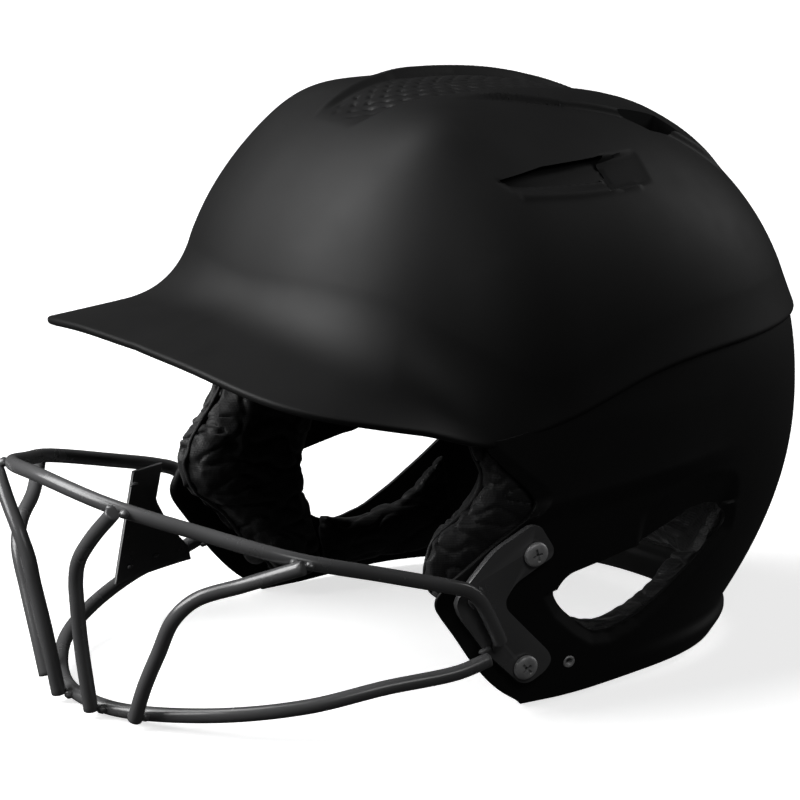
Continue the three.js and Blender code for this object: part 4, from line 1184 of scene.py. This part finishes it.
def build_fasteners():
    depth = PLATE_THICKNESS + PLATE_CLEARANCE + WALL_THICKNESS + 1.5
    end = -depth - NUT_BARREL_LENGTH
    ease = 0.3
    nut = [
        (HOLE_RADIUS, end + ease), (HOLE_RADIUS + ease, end), (NUT_BARREL_RADIUS - ease, end),
        (NUT_BARREL_RADIUS, end + ease), (NUT_BARREL_RADIUS, -depth - NUT_FLANGE_THICKNESS - 0.8),
        (NUT_BARREL_RADIUS + 0.8, -depth - NUT_FLANGE_THICKNESS),
        (NUT_FLANGE_RADIUS - ease, -depth - NUT_FLANGE_THICKNESS),
        (NUT_FLANGE_RADIUS, -depth - NUT_FLANGE_THICKNESS + ease), (NUT_FLANGE_RADIUS, -depth - ease),
        (NUT_FLANGE_RADIUS - ease, -depth), (HOLE_RADIUS, -depth), (HOLE_RADIUS, end + ease),
    ]
    for level, place, turn in (("upper", UPPER_SCREW, 0.35), ("lower", LOWER_SCREW, 0.8)):
        build_screw(level, place, turn)
        mesh = lathe_mesh("nut", nut, 48, PLATE_NORMAL, on_plate(place))
        link_pair(f"t_nut_{level}", "steel", mesh, "steel", ZINC, 30)
    top = INSERT_PROUD - (plate_x(*JAW_INSERT) - float(flap_x(*JAW_INSERT))) * PLATE_NORMAL[0]
    bottom = top - INSERT_LENGTH
    ring = [
        (INSERT_BORE_RADIUS, bottom), (INSERT_RADIUS - ease, bottom), (INSERT_RADIUS, bottom + ease),
        (INSERT_RADIUS, top - ease), (INSERT_RADIUS - ease, top), (INSERT_BORE_RADIUS + ease, top),
    ]
    ring += [(r, h) for r, h in reversed(thread(bottom, top - 0.4, INSERT_BORE_RADIUS + 0.2, 0.5, 0.2))]
    mesh = lathe_mesh("insert", ring + ring[:1], 40, PLATE_NORMAL, on_plate(JAW_INSERT))
    link_pair("jaw_insert", "steel", mesh, "steel", ZINC, 30)


# ---------------------------------------------------------------- padding
CHEEK_TOP = 116
CHEEK_BOTTOM = 5
CHEEK_FRONT = [
    (5, -9), (13, -19), (25, -30), (41, -47), (48, -56), (64, -60),
    (76, -53), (86, -42), (93, -35), (108, -39), (116, -40),
]
CHEEK_BACK = [(5, 12), (24, 14.5), (44, 10), (56, 12), (74, 20), (116, 26)]
SHELL_CLEARANCE = 0.7
CROWN_REACH = 108             # the crown's reach from its centre, for turning a thickness into a scale
VOXEL = 0.0042
CLOTH_PRESSURE = 4.0
CLOTH_FRAMES = 20
FOAM_FILL = 0.7
CLOTH_FILL = 0.6
CHEEK_FILL = 0.5
BROW_WELT = (-46, 46, 152, 186, 12)     # azimuths, heights and depth below the shell's outside
NAPE_WELT = (146, 214, 12, 94, 13)
CHEEK_WELT_DEPTH = 14
GROOVE_AZIMUTH_PITCH = 18     # degrees
MM_PER_DEGREE = 1.9
GROOVE_HEIGHT_PITCH = 24
GROOVE_HALF_WIDTH = 1.4
GROOVE_DEPTH = 0.0016         # metres
CROWN_GROOVE_PITCH = (23, 26)           # across and along
CROWN_GROOVE_HALF_WIDTH = 1.6
CROWN_GROOVE_DEPTH = 0.0018   # metres


def kept_inside(points):
    """Moves points (mm) that swelled past the shell's inner face back to just inside it."""
    x, y, z = points.T
    r = np.maximum(np.hypot(x, y - CROWN_CENTRE_Y), 1e-6)
    phi = np.arctan2(x, CROWN_CENTRE_Y - y)
    power = rise_power(phi)
    rise = np.clip(z - EQUATOR_Z, 0, None)
    size = ((r / plan_radius(phi, CROWN_FRONT)) ** power + (rise / CROWN_HEIGHT) ** power) ** (1 / power)
    most = 1 - (SHELL_THICKNESS + SHELL_CLEARANCE) / CROWN_REACH
    scale = np.where(z > along(RIM_HEIGHT, abs(np.degrees(phi))), np.minimum(1, most / size), 1)
    limit = wall_radius(phi, z) - WALL_THICKNESS - SHELL_CLEARANCE
    low = z < wall_top(np.degrees(phi))
    pull = scale * np.where(low, np.minimum(1, limit / r), 1)
    held_z = np.where(scale < 1, EQUATOR_Z + rise * scale, z)
    return np.stack([x * pull, CROWN_CENTRE_Y + (y - CROWN_CENTRE_Y) * pull, held_z], -1)


def mesh_points(mesh, kind="co"):
    """A mesh's points as rows, or its normals."""
    flat = np.zeros(len(mesh.vertices) * 3)
    mesh.vertices.foreach_get(kind, flat)
    return flat.reshape(-1, 3)


def set_points(mesh, points):
    mesh.vertices.foreach_set("co", np.asarray(points, float).ravel())
    mesh.update()


def inflate(piece, pressure, cap):
    """Cloth simulation of a closed cover under pressure; no point moves further than the cap (m)."""
    rest = mesh_points(piece.data)
    cloth = piece.modifiers.new("cloth", "CLOTH")
    cloth.settings.quality = 5
    cloth.settings.use_pressure = True
    cloth.settings.uniform_pressure_force = pressure
    cloth.settings.effector_weights.gravity = 0
    cloth.settings.tension_stiffness = 12
    cloth.settings.bending_stiffness = 0.3
    cloth.point_cache.frame_start = 1
    cloth.point_cache.frame_end = CLOTH_FRAMES
    for number in range(1, CLOTH_FRAMES + 1):
        bpy.context.scene.frame_set(number)
    graph = bpy.context.evaluated_depsgraph_get()
    swollen = mesh_points(piece.evaluated_get(graph).data)
    piece.modifiers.clear()
    bpy.context.scene.frame_set(1)
    move = swollen - rest
    length = np.linalg.norm(move, axis=1, keepdims=True)
    set_points(piece.data, rest + move * np.minimum(1, cap / np.maximum(length, 1e-9)))


def wrinkle_height(point, size, seed):
    """Soft folds with creased valleys, from 0 to -1."""
    stretched = Vector((point[0] * 0.8, point[1], point[2] * 1.5)) / size
    coarse = stretched * 0.7
    warp = Vector((noise.noise(coarse + Vector((seed, 0, 0))), noise.noise(coarse), 0)) * 0.9
    fold = abs(noise.noise(stretched + warp + Vector((0, seed, 3))))
    return -max(0.0, 1 - fold * 5)


def stuffed_pad(name, node, finish, slot, fill, wrinkle=0.0, wrinkle_size=0.012, shrink=0.0012, grooves=None):
    """A cover swollen from its plain solid, kept clear of the shell, then creased and smoothed."""
    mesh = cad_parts[node].data.copy()
    mesh.materials.clear()
    piece = link(name, mesh, slot)
    remesh = piece.modifiers.new("remesh", "REMESH")
    remesh.mode = "VOXEL"
    remesh.voxel_size = VOXEL
    evaluated(piece)
    soften = piece.modifiers.new("soften", "SMOOTH")
    soften.factor = 0.5
    soften.iterations = 4
    evaluated(piece)
    set_points(piece.data, mesh_points(piece.data) - mesh_points(piece.data, "normal") * shrink)
    inflate(piece, CLOTH_PRESSURE, 0.002 + 0.006 * fill)
    set_points(piece.data, kept_inside(mesh_points(piece.data) / MM) * MM)
    finer = piece.modifiers.new("finer", "SUBSURF")
    finer.levels = finer.render_levels = 2 if wrinkle else 1
    evaluated(piece)
    points = mesh_points(piece.data)
    normals = mesh_points(piece.data, "normal")
    height = np.zeros(len(points))
    if wrinkle:
        height += wrinkle * np.array([wrinkle_height(p, wrinkle_size, len(name)) for p in points])
        height += 0.35 * wrinkle * np.array([noise.noise(Vector(p) * 260) for p in points])
    if grooves:
        height += grooves(points / MM)
    set_points(piece.data, points + normals * height[:, None])
    set_points(piece.data, kept_inside(mesh_points(piece.data) / MM) * MM)
    dress(piece, finish, 80, node)
    return piece


def surface_line(piece, path, lift=0.0):
    """A closed path (mm) laid onto a piece's own surface."""
    laid = []
    for point in path:
        found, place, normal, _ = piece.closest_point_on_mesh(Vector(point) * MM)
        laid.append(np.array(place) / MM + np.array(normal) * lift if found else np.array(point))
    laid = np.array(laid)
    for _ in range(3):
        laid = (np.roll(laid, 1, axis=0) + 2 * laid + np.roll(laid, -1, axis=0)) / 4
    return laid


def piping(name, piece, path, radius=0.9):
    """A corded welt round a pad where its two covers are sewn together."""
    mesh = sweep_mesh(name, surface_line(piece, path), radius, 10, wobble=0.05, closed=True)
    return dress(link(name, mesh, "fabric"), LINER_CLOTH, 60)


def patch_loop(start, end, low, high, depth, steps=60):
    """The perimeter of a pad between two azimuths (degrees) and heights, at one depth."""
    corner = np.linspace(0, 1, steps)
    phi = np.concatenate([start + (end - start) * corner, np.full(steps, end),
                          end + (start - end) * corner, np.full(steps, start)])
    z = np.concatenate([np.full(steps, low), low + (high - low) * corner,
                        np.full(steps, high), high + (low - high) * corner])
    phi = np.radians(phi)
    return polar(phi, crown_radius(phi, z) - depth, z)


def cheek_loop(depth):
    z = np.linspace(CHEEK_BOTTOM + 1, CHEEK_TOP - 1, 70)
    front = azimuth_at_y(straight(CHEEK_FRONT, z), z, high=FLAP_AZIMUTH_LIMIT)
    back = azimuth_at_y(straight(CHEEK_BACK, z), z, high=FLAP_AZIMUTH_LIMIT)
    up = polar(front, wall_radius(front, z) - depth, z)
    down = polar(back, wall_radius(back, z) - depth, z)[::-1]
    return np.vstack([up, down])


def to_groove(value, pitch):
    """How far a value is from the nearest of the grooves set at a pitch."""
    return abs((value / pitch) % 1 - 0.5) * pitch


def foam_grooves(points):
    """Cut channels across a foam pad's inner face, from the crown's middle outwards."""
    x, y, z = points.T
    phi = np.degrees(np.arctan2(x, CROWN_CENTRE_Y - y))
    around = to_groove(phi, GROOVE_AZIMUTH_PITCH) * MM_PER_DEGREE
    across = np.minimum(around, to_groove(z, GROOVE_HEIGHT_PITCH))
    return -GROOVE_DEPTH * np.clip(1 - across / GROOVE_HALF_WIDTH, 0, 1)


def crown_grooves(points):
    x, y, _ = points.T
    across = np.minimum(to_groove(x, CROWN_GROOVE_PITCH[0]), to_groove(y, CROWN_GROOVE_PITCH[1]))
    return -CROWN_GROOVE_DEPTH * np.clip(1 - across / CROWN_GROOVE_HALF_WIDTH, 0, 1)


def mirror_pad(piece, name, node):
    twin = link(name, mirrored_mesh(piece.data), piece["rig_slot"])
    shade(twin, 80)
    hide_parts(node)
    return twin


def nut_pocket(place):
    """The blind hole in a cheek pad that keeps it clear of a nut and its screw's end."""
    return drill(place, NUT_FLANGE_RADIUS + 1, low=-SCREW_LENGTH - 2)


def foam_pad(node, grooves):
    return stuffed_pad(f"{node}_foam", node, LINER_FOAM, "foam", FOAM_FILL, grooves=grooves)


def cloth_pad(node, fill, wrinkle, wrinkle_size):
    return stuffed_pad(f"{node}_cover", node, LINER_CLOTH, "fabric", fill, wrinkle, wrinkle_size)


def build_padding():
    foam_pad("crown_pad", crown_grooves)
    foam_pad("rear_pad", foam_grooves)
    side = foam_pad("side_pad_left", foam_grooves)
    mirror_pad(side, "side_pad_right_foam", "side_pad_right")
    for node, welt in (("brow_pad", BROW_WELT), ("nape_pad", NAPE_WELT)):
        pad = cloth_pad(node, CLOTH_FILL, 0.0007, 0.016)
        piping(f"{node}_welt", pad, patch_loop(*welt))
    cheek = cloth_pad("cheek_pad_left", CHEEK_FILL, 0.0013, 0.013)
    cheek_welt = piping("cheek_pad_left_welt", cheek, cheek_loop(CHEEK_WELT_DEPTH))
    shade(cut(cheek, [nut_pocket(UPPER_SCREW), nut_pocket(LOWER_SCREW)]), 60)
    ear = cloth_pad("ear_pad_left", CHEEK_FILL, 0.0008, 0.012)
    mirror_pad(cheek, "cheek_pad_right_cover", "cheek_pad_right")
    mirror_pad(ear, "ear_pad_right_cover", "ear_pad_right")
    link("cheek_pad_right_welt", mirrored_mesh(cheek_welt.data), "fabric")


build_mask()
build_plates()
build_tag_plate()
build_fasteners()
build_padding()


# ---------------------------------------------------------------- stage, light and camera
LIGHTS = [    # name, place and size in metres, watts
    ("key", (-1.1, -2.1, 1.6), (2.2, 1.8), 74),
    ("top", (-0.9, -0.9, 2.3), (1.4, 1.4), 24),
    ("rim", (0.2, 2.7, 1.3), (0.6, 1.4), 11),
    ("fill", (2.0, -0.4, 1.8), (1.0, 0.8), 6),
]
LIGHT_TARGET = (0, 0, 0.12)
WORLD_STRENGTH = 0.02


def build_stage():
    mesh = bpy.data.meshes.new("floor")
    reach, drop = 8, -0.0005
    corners = [(x * reach, y * reach, drop) for x, y in ((-1, -1), (1, -1), (1, 1), (-1, 1))]
    mesh.from_pydata(corners, [], [(0, 1, 2, 3)])
    floor = bpy.data.objects.new("floor", mesh)
    bpy.context.scene.collection.objects.link(floor)
    mesh.materials.append(floor_finish("studio_floor"))
    floor.visible_glossy = False
    floor.visible_diffuse = False


def area_light(name, place, target, size, watts):
    light = bpy.data.lights.new(name, "AREA")
    light.shape = "RECTANGLE"
    light.size, light.size_y = size
    light.energy = watts
    lamp = bpy.data.objects.new(name, light)
    lamp.location = place
    lamp.rotation_mode = "QUATERNION"
    lamp.rotation_quaternion = (Vector(target) - Vector(place)).to_track_quat("-Z", "Y")
    bpy.context.scene.collection.objects.link(lamp)
    return lamp


def build_light():
    world = bpy.data.worlds.new("studio")
    world.use_nodes = True
    world.node_tree.nodes["Background"].inputs["Color"].default_value = (1, 1, 1, 1)
    world.node_tree.nodes["Background"].inputs["Strength"].default_value = WORLD_STRENGTH
    bpy.context.scene.world = world
    for name, place, size, watts in LIGHTS:
        area_light(name, place, LIGHT_TARGET, size, watts)


def build_camera():
    """A long lens from the front and the wearer's left, a little above."""
    azimuth, elevation, distance = math.radians(55.5), math.radians(14.5), 1.78
    target = Vector((0, 0, 0.101))
    level = math.cos(elevation)
    back = Vector((math.sin(azimuth) * level, -math.cos(azimuth) * level, math.sin(elevation)))
    data = bpy.data.cameras.new("camera")
    data.sensor_width = 36
    data.lens = 200.25
    camera = bpy.data.objects.new("camera", data)
    camera.location = target + back * distance
    camera.rotation_mode = "QUATERNION"
    camera.rotation_quaternion = (-back).to_track_quat("-Z", "Y")
    bpy.context.scene.collection.objects.link(camera)
    bpy.context.scene.camera = camera


build_stage()
build_light()
build_camera()
bpy.context.scene.view_settings.view_transform = "Standard"
